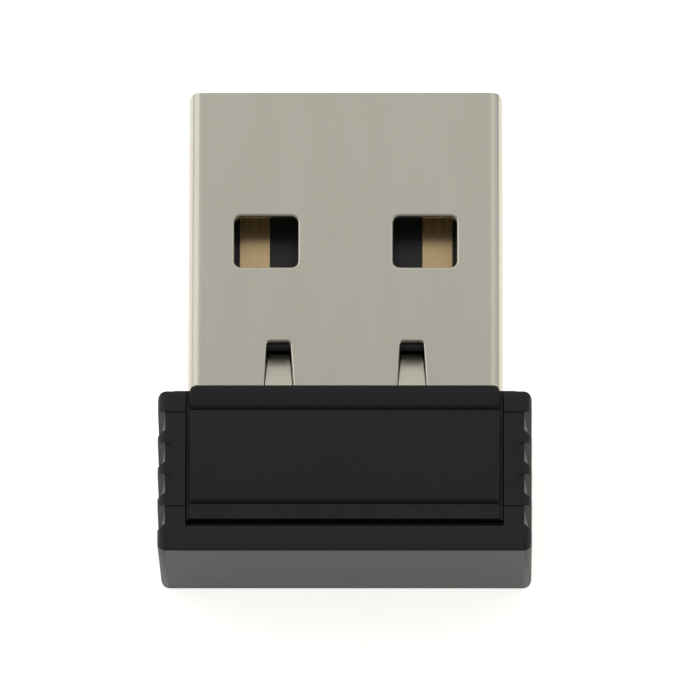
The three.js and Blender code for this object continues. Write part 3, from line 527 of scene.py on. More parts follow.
@dataclass
class PlugShell:
    """The folded steel sheet with its windows, latches, rear seam and solder legs."""

    sheet: float = 0.3
    outer_bend: float = 0.72  # from the folded corner to where the sheet starts to curve
    bend_profile: float = 0.62  # fuller than round, so that the curve starts gently
    tip_corner: float = 0.3
    punched_edge: float = 0.05  # rolled over at the tip
    window_rim: float = 0.1
    slot_rim: float = 0.09
    window: Span = (2.42, 1.99)  # across and along, inside its rim
    window_corner: float = 0.25
    window_spacing: float = 6.06
    window_from_tip: float = 4.86
    latch_spacing: float = 5.08
    latch_free_width: float = 0.86
    latch_root_width: float = 1.13
    latch_length: float = 1.67
    latch_depth: float = 0.75
    latch_free_edge: float = 0.08
    latch_slot_corner: float = 0.12
    latch_side_gap: float = 0.03
    latch_end_gap: float = 0.27
    latch_from_housing: float = 0.04
    latch_bend: float = 0.35
    seam_gap: float = 0.03
    seam_keys: int = 3
    seam_key_neck: float = 0.9
    seam_key_head: float = 1.3
    seam_key_depth: float = 0.8
    seam_key_pitch: float = 4.2
    seam_first_key: float = 3.1
    leg_length: float = 1.2
    leg_heights: Span = (2.66, 4.16)
    hole: Span = (1.3, 1.1)  # across and along
    hole_spacing: float = 7.2
    hole_from_shoulder: float = 1.1

    def __post_init__(self) -> None:
        """Reads the shell's place from the frame."""
        extent = Extent.of("plug_shell")
        self.half = extent.high.x
        self.tip = extent.high.y
        self.root = extent.low.y + self.leg_length
        self.bottom, self.top = extent.span(2)
        self.shoulder = Extent.of("inner_shell_front").high.y
        self.latch_root = self.shoulder + self.latch_from_housing
        self.latch_end = self.latch_root + self.latch_length
        self.window_end = self.tip - self.window_from_tip
        self.window_start = self.window_end - self.window[1]

    def tube(self) -> Solid:
        """The folded tube with its tip corners rounded in plan."""
        tube = Solid.block((-self.half, self.half), (self.root, self.tip), (self.bottom, self.top))
        ends = [f for f in tube.mesh.faces if abs(f.normal.y) > 0.5]
        bmesh.ops.delete(tube.mesh, geom=ends, context="FACES_ONLY")
        folds = [e for e in tube.mesh.edges if len(e.link_faces) == 2]
        bmesh.ops.bevel(tube.mesh, geom=folds, affect="EDGES", offset=self.outer_bend, segments=12,
                        profile=self.bend_profile, material=-1)
        bmesh.ops.solidify(tube.mesh, geom=tube.mesh.faces, thickness=self.sheet)
        bmesh.ops.recalc_face_normals(tube.mesh, faces=tube.mesh.faces)
        plan = Solid.block((-self.half, self.half), (self.root - PAST, self.tip),
                           (self.bottom - PAST, self.top + PAST))
        plan.soften(Planes(x=(-self.half, self.half), y=(self.tip,)), self.tip_corner, segments=6)
        return tube.combine(Operation.TRIM, [plan])

    def windows(self) -> list[Solid]:
        """The cutters of the windows, each through both broad faces."""
        start, end = self.window_start, self.window_end
        cutters = []
        for hand in Hand:
            x = hand.value * self.window_spacing / 2
            xs = (x - self.window[0] / 2, x + self.window[0] / 2)
            cutter = Solid.block(xs, (start, end), (self.bottom - PAST, self.top + PAST))
            cutters.append(cutter.soften(Planes(x=xs, y=(start, end)), self.window_corner, segments=6))
        return cutters

    def latch_slot(self, hand: Hand) -> Solid:
        """The cutter of the slot around a latch."""
        x = hand.value * self.latch_spacing / 2
        start, end = self.latch_root, self.latch_end + self.latch_end_gap
        wide, narrow = self.latch_root_width / 2, self.latch_free_width / 2
        plan = ((x - wide, start), (x + wide, start), (x + narrow, end), (x - narrow, end))
        heights = (self.top - self.sheet - PAST / 2, self.top + PAST)
        slot = Solid.hull((u, v, z) for u, v in plan for z in heights)
        corners = Planes(x=(x - narrow, x + narrow), y=(end,))
        return slot.soften(corners, self.latch_slot_corner, segments=4)

    def latch(self, hand: Hand) -> Solid:
        """A latch: a tongue bent inwards at its root, straight and narrowing to its free end."""
        x = hand.value * self.latch_spacing / 2
        start = self.latch_root
        slope = math.atan2(self.latch_depth, self.latch_length)
        latch = Solid()
        wide = self.latch_root_width / 2 - self.latch_side_gap
        narrow = self.latch_free_width / 2 - self.latch_side_gap
        ends = [latch.mesh.verts.new((x + side * wide, start - self.sheet, self.top)) for side in (-1, 1)]
        edge = latch.mesh.edges.new(ends)
        bend_start = start - self.latch_bend * math.tan(slope / 2)
        edge = self.pull(latch, edge, Vector((0, bend_start - start + self.sheet, 0)))
        turned = bmesh.ops.spin(latch.mesh, geom=[edge, *edge.verts], axis=(-1, 0, 0), angle=slope,
                                cent=(x, bend_start, self.top - self.latch_bend), steps=5)
        edge = next(g for g in turned["geom_last"] if isinstance(g, bmesh.types.BMEdge))
        at = edge.verts[0].co
        free = Vector((0, self.latch_end - at.y, self.top - self.latch_depth - at.z))
        edge = self.pull(latch, edge, free)
        bmesh.ops.scale(latch.mesh, vec=Vector((narrow / wide, 1, 1)), verts=edge.verts,
                        space=Matrix.Translation((-x, 0, 0)))
        bmesh.ops.recalc_face_normals(latch.mesh, faces=latch.mesh.faces)
        if next(iter(latch.mesh.faces)).normal.z < 0:
            bmesh.ops.reverse_faces(latch.mesh, faces=latch.mesh.faces)
        bmesh.ops.solidify(latch.mesh, geom=latch.mesh.faces, thickness=self.sheet)
        free_edge = Planes(y=(self.latch_end,), z=(self.top - self.latch_depth,))
        return latch.soften(free_edge, self.latch_free_edge)

    def pull(self, solid: Solid, edge: bmesh.types.BMEdge, by: Vector) -> bmesh.types.BMEdge:
        """Extrudes an edge into a face.

        Args:
            solid: The sheet it belongs to.
            edge: The edge.
            by: How far and which way.

        Returns:
            The edge at the far side of the new face.
        """
        made = bmesh.ops.extrude_edge_only(solid.mesh, edges=[edge])["geom"]
        verts = [g for g in made if isinstance(g, bmesh.types.BMVert)]
        bmesh.ops.translate(solid.mesh, vec=by, verts=verts)
        return next(g for g in made if isinstance(g, bmesh.types.BMEdge))

    def seam(self) -> list[Solid]:
        """The cutters of the line where the sheet's edges meet, dovetailed so that they can't open."""
        line = [(0.0, self.tip + PAST)]
        for i in range(self.seam_keys):
            y = self.tip - self.seam_first_key - i * self.seam_key_pitch
            neck, head = self.seam_key_neck / 2, self.seam_key_head / 2
            line += [(0.0, y + neck), (self.seam_key_depth, y + head),
                     (self.seam_key_depth, y - head), (0.0, y - neck)]
        line.append((0.0, self.root - PAST))
        heights = (self.bottom - PAST, self.bottom + self.sheet + PAST / 2)
        cutters = []
        for here, there in zip(line, line[1:]):
            step = (Vector(there) - Vector(here)).normalized() * (self.seam_gap / 2)
            aside = Vector((step.y, -step.x))
            a, b = Vector(here) - step, Vector(there) + step
            plan = (a + aside, b + aside, b - aside, a - aside)
            cutters.append(Solid.hull((p.x, p.y, z) for p in plan for z in heights))
        return cutters

    def holes(self) -> list[Solid]:
        """The cutters of the holes that the housing's nubs reach into."""
        y = self.shoulder - self.hole_from_shoulder
        across, along = self.hole[0] / 2, self.hole[1] / 2
        return [Solid.block((x - across, x + across), (y - along, y + along),
                            (self.bottom - PAST, self.bottom + PAST / 2))
                for x in (-self.hole_spacing / 2, self.hole_spacing / 2)]

    def leg(self, hand: Hand) -> Solid:
        """A leg of the side wall that is soldered to the board's edge."""
        xs = (hand.value * (self.half - self.sheet), hand.value * self.half)
        start = self.root - self.leg_length
        leg = Solid.block(xs, (start, self.root + self.sheet), self.leg_heights)
        return leg.soften(Planes(y=(start,), z=self.leg_heights), self.sheet / 2)

    def roll_over(self, shell: Solid, face: float, ys: Span, width: float) -> None:
        """Rolls the rims of openings over, as a punch does, except where a latch bends down.

        Args:
            shell: The shell.
            face: Where the openings' face lies along Z.
            ys: The part of the shell's length that the openings fill.
            width: How far the rolling reaches.
        """
        bends = Planes(y=(self.latch_root,))
        rims = [e for e in shell.mesh.edges if Planes(z=(face,)).takes(e) and not bends.takes(e)
                and all(ys[0] - NEAR < v.co.y < ys[1] + NEAR for v in e.verts)
                and all(abs(v.co.x) < self.half - self.outer_bend for v in e.verts)]
        bmesh.ops.bevel(shell.mesh, geom=rims, affect="EDGES", offset=width, segments=4,
                        profile=0.5, material=-1, clamp_overlap=False)

    def build(self) -> bpy.types.Object:
        """Cuts, bends and softens the shell."""
        shell = self.tube()
        shell.combine(Operation.CARVE, self.windows())
        for face in (self.bottom, self.top):
            self.roll_over(shell, face, (self.window_start, self.window_end), self.window_rim)
        shell.soften(Planes(y=(self.tip,)), self.punched_edge, segments=2)
        shell.combine(Operation.CARVE, map(self.latch_slot, Hand))
        slot = (self.latch_root, self.latch_end + self.latch_end_gap)
        self.roll_over(shell, self.top, slot, self.slot_rim)
        shell.combine(Operation.CARVE, [*self.seam(), *self.holes()])
        shell.combine(Operation.FUSE, [*map(self.latch, Hand), *map(self.leg, Hand)])
        return shell.finish("plug_shell", Slot.PLUG_STEEL, SATIN_NICKEL_STEEL)


@dataclass
class PlugCarrier:
    """The moulded insulator: a tray under the board, a lip in front of it and a crossbar over it."""

    lip_length: float = 0.4
    lip_chamfer: float = 0.2
    rail_width: float = 0.43
    crossbar_length: float = 0.55
    crossbar_fit: float = 0.05
    crossbar_root: float = 0.2  # how far it reaches down into the rails
    crossbar_edge: float = 0.1
    pocket_depth: float = 0.85
    pocket_side: float = 0.8
    pocket_back: float = 0.6
    pocket_front: float = 0.3
    pocket_corner: float = 0.2
    moulded_edge: float = 0.05

    def build(self) -> bpy.types.Object:
        """Shapes the insulator."""
        extent = Extent.of("plug_carrier")
        floor = Extent.of("circuit_board").low.z
        rail_top = Extent.of("contact_power").high.z
        half, (back, lip), (bottom, top) = extent.high.x, extent.span(1), extent.span(2)
        body = Solid.block((-half, half), (back, lip), (bottom, rail_top))
        body.soften(Planes(y=(lip,), z=(bottom, rail_top)), self.lip_chamfer, segments=4)
        rail = half - self.rail_width
        space = Solid.block((-rail, rail), (back - PAST, lip - self.lip_length), (floor, rail_top + PAST))
        pocket = (self.pocket_side - rail, rail - self.pocket_side)
        pocket_ys = (back + self.pocket_back, Extent.of("wifi_chip").high.y + self.pocket_front)
        hollow = Solid.block(pocket, pocket_ys, (floor - self.pocket_depth, rail_top))
        hollow.soften(Planes(x=pocket, y=pocket_ys), self.pocket_corner)
        body.combine(Operation.CARVE, [space, hollow])
        start = PlugShell().latch_end + self.crossbar_fit
        bar = (start, start + self.crossbar_length)
        crossbar = Solid.block((-half, half), bar, (rail_top - self.crossbar_root, top))
        crossbar.soften(Planes(y=bar, z=(top,)), self.crossbar_edge)
        crossbar.soften(Planes(x=(-half, half), z=(top,)), self.moulded_edge)
        body.combine(Operation.FUSE, [crossbar])
        under = Solid.block((-rail, rail), (bar[0] - PAST, bar[1] + PAST),
                            (rail_top - 2 * self.crossbar_root, rail_top))
        body.combine(Operation.CARVE, [under])
        body.soften(Planes(x=(-half, half), z=(bottom,)), self.moulded_edge, segments=2)
        return body.finish("plug_carrier", Slot.INSULATOR, FILLED_NYLON)


# ---------------------------------------------------------------- board


@dataclass
class Board:
    """The printed board, its gold contacts, its antenna and the solder at the shell's legs."""

    narrows_at: float = -5.11  # along Y, where the insulator's rails start
    narrow_half: float = 5.21
    routed_edge: float = 0.03
    plated_edge: float = 0.012
    contact_corner: float = 0.12
    fillet_hollow: float = 0.12  # the bevel profile of a wetted fillet
    fillet_share: float = 0.92  # of the joint's smaller side
    contacts: tuple[str, ...] = (
        "contact_power", "contact_data_minus", "contact_data_plus", "contact_ground")

    def build(self) -> None:
        """Builds the board and all that is printed or soldered on it."""
        self.laminate()
        for node in self.contacts:
            self.contact(node)
        for hand in Hand:
            self.solder(hand)
        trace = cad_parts["antenna_trace"]
        trace.data.materials.clear()
        trace.data.materials.append(TRACE_GOLD.material())
        LOG.info("antenna_trace: kept from the frame")

    def laminate(self) -> bpy.types.Object:
        """The board: narrow between the insulator's rails and wide between the shell's legs."""
        extent = Extent.of("circuit_board")
        xs, ys, zs = extent.spans
        board = Solid.block((-self.narrow_half, self.narrow_half), ys, zs)
        board.combine(Operation.FUSE, [Solid.block(xs, (ys[0], self.narrows_at), zs)])
        board.soften(Planes(z=zs), self.routed_edge, segments=2)
        return board.finish("circuit_board", Slot.BOARD, SOLDER_MASK)

    def contact(self, node: str) -> bpy.types.Object:
        """A contact plate with its edges rounded by the plating."""
        xs, ys, zs = Extent.of(node).spans
        plate = Solid.block(xs, ys, zs)
        plate.soften(Planes(x=xs, y=ys), self.contact_corner, segments=4)
        plate.soften(Planes(z=(zs[1],)), self.plated_edge, segments=2)
        return plate.finish(node, Slot.CONTACT_GOLD, CONTACT_GOLD)

    def solder(self, hand: Hand) -> bpy.types.Object:
        """The hollow fillet between the board and one of the shell's legs."""
        node = f"solder_joint_{hand.name.lower()}"
        xs, ys, zs = Extent.of(node).spans
        inner = min(xs, key=abs)
        fillet = Solid.block(xs, ys, zs)
        reach = self.fillet_share * min(xs[1] - xs[0], zs[1] - zs[0])
        fillet.soften(Planes(x=(inner,), z=(zs[1],)), reach, segments=8, profile=self.fillet_hollow)
        return fillet.finish(node, Slot.SOLDER, SOLDER_ALLOY)


@dataclass
class BoardParts:
    """The radio chip, the crystal, the power inductor and the two-ended parts."""

    body_edge: float = 0.03
    chip_edge: float = 0.05
    chip_corner: float = 0.35
    chip_leads: int = 8  # on each side
    lead_width: float = 0.26
    lead_height: float = 0.2
    lead_proud: float = 0.005
    dot_radius: float = 0.28
    dot_inset: float = 0.84
    dot_depth: float = 0.05
    castellation: float = 0.16
    lid_corner: float = 0.12
    lid_edge: float = 0.06
    flange: float = 0.17
    flange_corner: float = 0.09
    wire_radius: float = 0.07
    terminal_share: float = 0.25
    terminal_step: float = 0.02
    terminal_round: float = 0.06

    def build(self) -> None:
        """Builds every part on the board."""
        self.chip()
        self.crystal()
        self.inductor()
        capacitors = ("supply_capacitor_input", "supply_capacitor_output", "bypass_capacitor_left",
                      "bypass_capacitor_right", "bypass_capacitor_middle", "crystal_capacitor_left",
                      "crystal_capacitor_right", "matching_capacitor")
        for node in capacitors:
            self.two_ended(node, Slot.CAPACITOR_CERAMIC, TITANATE)
        for node in ("bias_resistor", "pull_up_resistor", "usb_resistor"):
            self.two_ended(node, Slot.RESISTOR, RESISTOR_GLAZE)
        self.two_ended("matching_inductor", Slot.INDUCTOR_CERAMIC, ALUMINA)

    def two_ended(self, node: str, slot: Slot, finish: Finish) -> bpy.types.Object:
        """A part with a fired metal cap at each end.

        Args:
            node: Its CAD node.
            slot: The record's slot of its body.
            finish: The finish of its body.

        Returns:
            The piece.
        """
        extent = Extent.of(node)
        size = extent.high - extent.low
        axis = 0 if size.x > size.y else 1
        part = Solid.block(*extent.spans)
        normal = Vector((1, 0, 0)) if axis == 0 else Vector((0, 1, 0))
        reach = size[axis] * (0.5 - self.terminal_share)
        for side in (-1, 1):
            geometry = [*part.mesh.verts, *part.mesh.edges, *part.mesh.faces]
            bmesh.ops.bisect_plane(part.mesh, geom=geometry, plane_no=normal,
                                   plane_co=extent.middle + side * reach * normal)
        ends = [edge for edge in part.mesh.edges
                if all(abs(v.co[axis] - extent.middle[axis]) > size[axis] / 2 - NEAR for v in edge.verts)]
        bmesh.ops.bevel(part.mesh, geom=ends, affect="EDGES", offset=self.terminal_round, segments=3,
                        profile=0.5, material=-1)

        def is_body(face: bmesh.types.BMFace) -> bool:
            """Whether a face lies between the two caps."""
            return abs(face.calc_center_median()[axis] - extent.middle[axis]) < reach - NEAR

        body = [face for face in part.mesh.faces if is_body(face)]
        bmesh.ops.inset_region(part.mesh, faces=body, thickness=self.terminal_step,
                               depth=-self.terminal_step, use_even_offset=True)
        for face in part.mesh.faces:
            face.material_index = 0 if is_body(face) else 1
        return part.finish(node, slot, finish, TINNED)

    def chip(self) -> bpy.types.Object:
        """The radio chip, a flat moulded package with leads in its edges and a dot by the first."""
        extent = Extent.of("wifi_chip")
        xs, ys, zs = extent.spans
        chip = Solid.block(xs, ys, zs)
        chip.soften(Planes(x=(xs[0],), y=(ys[1],)), self.chip_corner, segments=1)
        chip.soften(Planes(z=(zs[0],)), self.chip_edge, segments=2)
        dot_place = (xs[0] + self.dot_inset, ys[1] - self.dot_inset, zs[0])
        chip.combine(Operation.CARVE, [Solid.post(dot_place, self.dot_radius, 2 * self.dot_depth)])
        pitch = (xs[1] - xs[0]) / (self.chip_leads + 2)
        for i in range(self.chip_leads):
            along = (i - (self.chip_leads - 1) / 2) * pitch
            for hand in Hand:
                chip.absorb(self.lead(extent, 0, hand, along), 1)
                chip.absorb(self.lead(extent, 1, hand, along), 1)
        return chip.finish("wifi_chip", Slot.CHIP_RESIN, CHIP_EPOXY, TINNED)

    def lead(self, chip: Extent, axis: int, hand: Hand, along: float) -> Solid:
        """A lead in the chip's edge, next to the board.

        Args:
            chip: The chip's box.
            axis: The axis that the edge is square to.
            hand: Which of the two edges it is in.
            along: Its place along the edge, from the middle.

        Returns:
            The lead.
        """
        face = chip.low[axis] if hand is Hand.LEFT else chip.high[axis]
        root = self.lead_height + self.lead_proud
        across = (face - hand.value * root, face + hand.value * self.lead_proud)
        middle = chip.middle[1 - axis] + along
        beside = (middle - self.lead_width / 2, middle + self.lead_width / 2)
        xs, ys = (across, beside) if axis == 0 else (beside, across)
        return Solid.block(xs, ys, (chip.high.z - self.lead_height, chip.high.z))

    def crystal(self) -> None:
        """The crystal's ceramic tray, with a hollow at each corner, and its metal lid."""
        extent = Extent.of("crystal_base")
        xs, ys, zs = extent.spans
        base = Solid.block(xs, ys, zs)
        height = 2 * (zs[1] - zs[0])
        posts = [Solid.post((x, y, extent.middle.z), self.castellation, height) for x in xs for y in ys]
        base.combine(Operation.CARVE, posts)
        base.soften(Planes(z=(zs[0],)), self.body_edge, segments=2)
        base.finish("crystal_base", Slot.CRYSTAL_CERAMIC, ALUMINA)
        xs, ys, zs = Extent.of("crystal_lid").spans
        lid = Solid.block(xs, ys, zs)
        lid.soften(Planes(x=xs, y=ys), self.lid_corner, segments=4)
        lid.soften(Planes(z=(zs[0],)), self.lid_edge)
        lid.finish("crystal_lid", Slot.CRYSTAL_METAL, LID_NICKEL)

    def inductor(self) -> bpy.types.Object:
        """The power inductor: enamelled wire wound on a drum between two square flanges."""
        extent = Extent.of("power_inductor")
        xs, ys, zs = extent.spans
        inductor = Solid()
        for floor in (zs[0], zs[1] - self.flange):
            flange = Solid.block(xs, ys, (floor, floor + self.flange))
            flange.soften(Planes(x=xs, y=ys), self.flange_corner)
            flange.soften(Planes(z=(floor, floor + self.flange)), self.body_edge, segments=2)
            inductor.absorb(flange)
        radius = (ys[1] - ys[0] - self.flange) / 2
        core = radius - 2 * self.wire_radius
        gap = (zs[0] + self.flange, zs[1] - self.flange)
        inductor.absorb(Solid.post(extent.middle, core, gap[1] - gap[0], sides=32))
        turns = int((gap[1] - gap[0]) / (2 * self.wire_radius))
        for turn in range(turns):
            z = gap[0] + (gap[1] - gap[0]) * (turn + 0.5) / turns
            inductor.absorb(self.wire_ring(Vector((*extent.middle.xy, z)), core + self.wire_radius), 1)
        return inductor.finish("power_inductor", Slot.FERRITE, FERRITE, WINDING)

    def wire_ring(self, centre: Vector, radius: float) -> Solid:
        """One turn of wire.

        Args:
            centre: The middle of the turn.
            radius: From there to the middle of the wire.

        Returns:
            The ring.
        """
        ring = Solid()
        aside = Matrix.Translation(centre + Vector((radius, 0, 0)))
        upright = aside @ Matrix.Rotation(math.pi / 2, 4, "X")
        made = bmesh.ops.create_circle(ring.mesh, segments=10, radius=self.wire_radius, matrix=upright)
        edges = list({edge for vert in made["verts"] for edge in vert.link_edges})
        bmesh.ops.spin(ring.mesh, geom=[*made["verts"], *edges], cent=centre, axis=(0, 0, 1),
                       angle=2 * math.pi, steps=32, use_merge=True)
        bmesh.ops.recalc_face_normals(ring.mesh, faces=ring.mesh.faces)
        return ring


# ---------------------------------------------------------------- housing


@dataclass
class InnerShell:
    """One of the two half shells that clamp the plug and the board."""

    side: Side
    rail_half: float = 6.5
    rail_high: float = 2.83  # from the middle plane
    rail_nose: float = 0.15  # past the cap's arms
    wall_x: float = 6.03
    plug_fit: float = 0.03
    split: float = 0.02
    side_seam: float = 0.15  # between the panel and the cap
    side_seam_depth: float = 0.15
    slot_fit: float = 0.04
    end_seam: float = 0.25
    end_band: float = 0.965
    moulded_edge: float = 0.06
    shoulder_chamfer: float = 0.22
    groove: Span = (0.22, 0.14)  # along and deep
    front_band: float = 0.76
    last_band: float = 0.58
    glint: Size = (0.24, 0.85, 0.13)  # across, along and deep
    catch: Size = (0.14, 0.8, 0.8)  # proud, along and high
    catch_round: float = 0.098
    catch_from_end: float = 2.0
    sunk: float = 0.3  # how far ribs, nubs and catches start inside a wall
    rib_width: float = 1.6
    rib_length: float = 0.6
    rib_from_end: float = 1.5
    nub: Span = (1.2, 1.0)
    nub_spacing: float = 7.2
    nub_from_shoulder: float = 1.1
    nub_top: float = 1.5

    def __post_init__(self) -> None:
        """Reads the half shell's place from the frame."""
        self.node = f"inner_shell_{self.side.name.lower()}"
        extent = Extent.of(self.node)
        cap = Extent.of("outer_cap")
        shell = Extent.of("plug_shell")
        self.middle = cap.middle.z
        self.end, self.arm = cap.span(1)
        self.back, self.shoulder = extent.span(1)
        self.face = self.away(cap.high.z - self.middle)
        self.half = shell.high.x + self.slot_fit - self.side_seam
        self.panel_end = self.end + self.end_band + self.end_seam
        self.over_plug = shell.high.z - self.middle + self.plug_fit
        self.seam_half = shell.high.x

    def away(self, distance: float) -> float:
        """The height at a distance from the middle plane, on this half's side."""
        return self.middle + self.side.value * distance

    def grooves(self) -> list[Solid]:
        """The cutters of the two lines across the panel: each slopes down and ends at a small wall."""
        long, deep = self.groove
        floor = self.face - self.side.value * deep
        above = self.face + self.side.value * PAST
        cutters = []
        for y in (self.shoulder - self.front_band, self.panel_end + self.last_band + long):
            cutters.append(Solid.hull(
                (x, place, height) for x in (-self.half - PAST, self.half + PAST)
                for place, height in ((y, self.face), (y, above), (y - long, above), (y - long, floor))))
        return cutters

    def glints(self) -> list[Solid]:
        """The cutters of the tapered bevels at the panel's sides."""
        across, along, deep = self.glint
        high = self.face + self.side.value * PAST
        low = self.face - self.side.value * deep
        first = self.shoulder - self.front_band - self.groove[0]
        last = self.panel_end + self.last_band
        cutters = []
        for place, length in ((first, along), (last, self.last_band)):
            start, end = place + self.groove[0] / 2, place - length
            cutter = Solid.hull([
                (self.half - across, start, self.face), (self.half, start, low),
                (self.half, end, self.face), (self.half + PAST, start, low),
                (self.half + PAST, end, self.face), (self.half + PAST, start, high),
                (self.half, end, high), (self.half - across, start, high),
            ])
            cutters += [cutter, cutter.mirrored(0)]
        return cutters

    def rib(self, hand: Hand) -> Solid:
        """A rib that holds the board's end."""
        board = Extent.of("circuit_board")
        xs = (hand.value * (self.wall_x - self.rib_width), hand.value * self.wall_x)
        start = self.end + self.rib_from_end
        face = board.high.z if self.side is Side.FRONT else board.low.z
        root = self.away(self.over_plug + self.sunk)
        rib = Solid.block(xs, (start, start + self.rib_length), (face, root))
        return rib.soften(Planes(x=(xs[0],)), self.moulded_edge, segments=2)

    def snap_catch(self, hand: Hand) -> Solid:
        """A catch that snaps into the cap."""
        proud, along, high = self.catch
        xs = (hand.value * (self.rail_half - self.sunk), hand.value * (self.rail_half + proud))
        y = self.end + self.catch_from_end
        zs = (self.away(self.split), self.away(high))
        catch = Solid.block(xs, (y - along / 2, y + along / 2), zs)
        return catch.soften(Planes(x=(xs[1],)), self.catch_round, segments=3)

    def nubs(self) -> list[Solid]:
        """The nubs that reach into the plug shell, which only the rear half has."""
        if self.side is Side.FRONT:
            return []
        y = self.shoulder - self.nub_from_shoulder
        across, along = self.nub[0] / 2, self.nub[1] / 2
        floor = self.away(self.over_plug + self.sunk)
        return [Solid.block((x - across, x + across), (y - along, y + along), (floor, self.nub_top))
                .soften(Planes(z=(self.nub_top,)), self.moulded_edge, segments=2)
                for x in (-self.nub_spacing / 2, self.nub_spacing / 2)]

    def build(self) -> bpy.types.Object:
        """Shapes the half shell."""
        panel = Solid.block((-self.half, self.half), (self.panel_end, self.shoulder),
                            (self.away(self.over_plug), self.face))
        corners = Planes(x=(-self.half, self.half), y=(self.shoulder,))
        panel.soften(corners, self.shoulder_chamfer, segments=2)
        panel.soften(Planes(z=(self.face,)), self.moulded_edge)
        rails = Solid.block((-self.rail_half, self.rail_half), (self.back, self.arm + self.rail_nose),
                            (self.away(self.split), self.away(self.rail_high)))
        room = Solid.block((-self.wall_x, self.wall_x), (self.back - PAST, self.shoulder + PAST),
                           (self.away(-PAST), self.away(self.over_plug)))
        seam_floor = self.face - self.side.value * self.side_seam_depth
        ledge = Solid.block((-self.seam_half, self.seam_half),
                            (self.panel_end, self.shoulder - self.shoulder_chamfer),
                            (self.away(self.over_plug), seam_floor))
        panel.combine(Operation.FUSE, [rails, ledge])
        panel.combine(Operation.CARVE, [room, *self.grooves(), *self.glints()])
        panel.combine(Operation.FUSE, [*map(self.rib, Hand), *map(self.snap_catch, Hand), *self.nubs()])
        return panel.finish(self.node, Slot.HOUSING_PLASTIC, MOULDED_ABS)


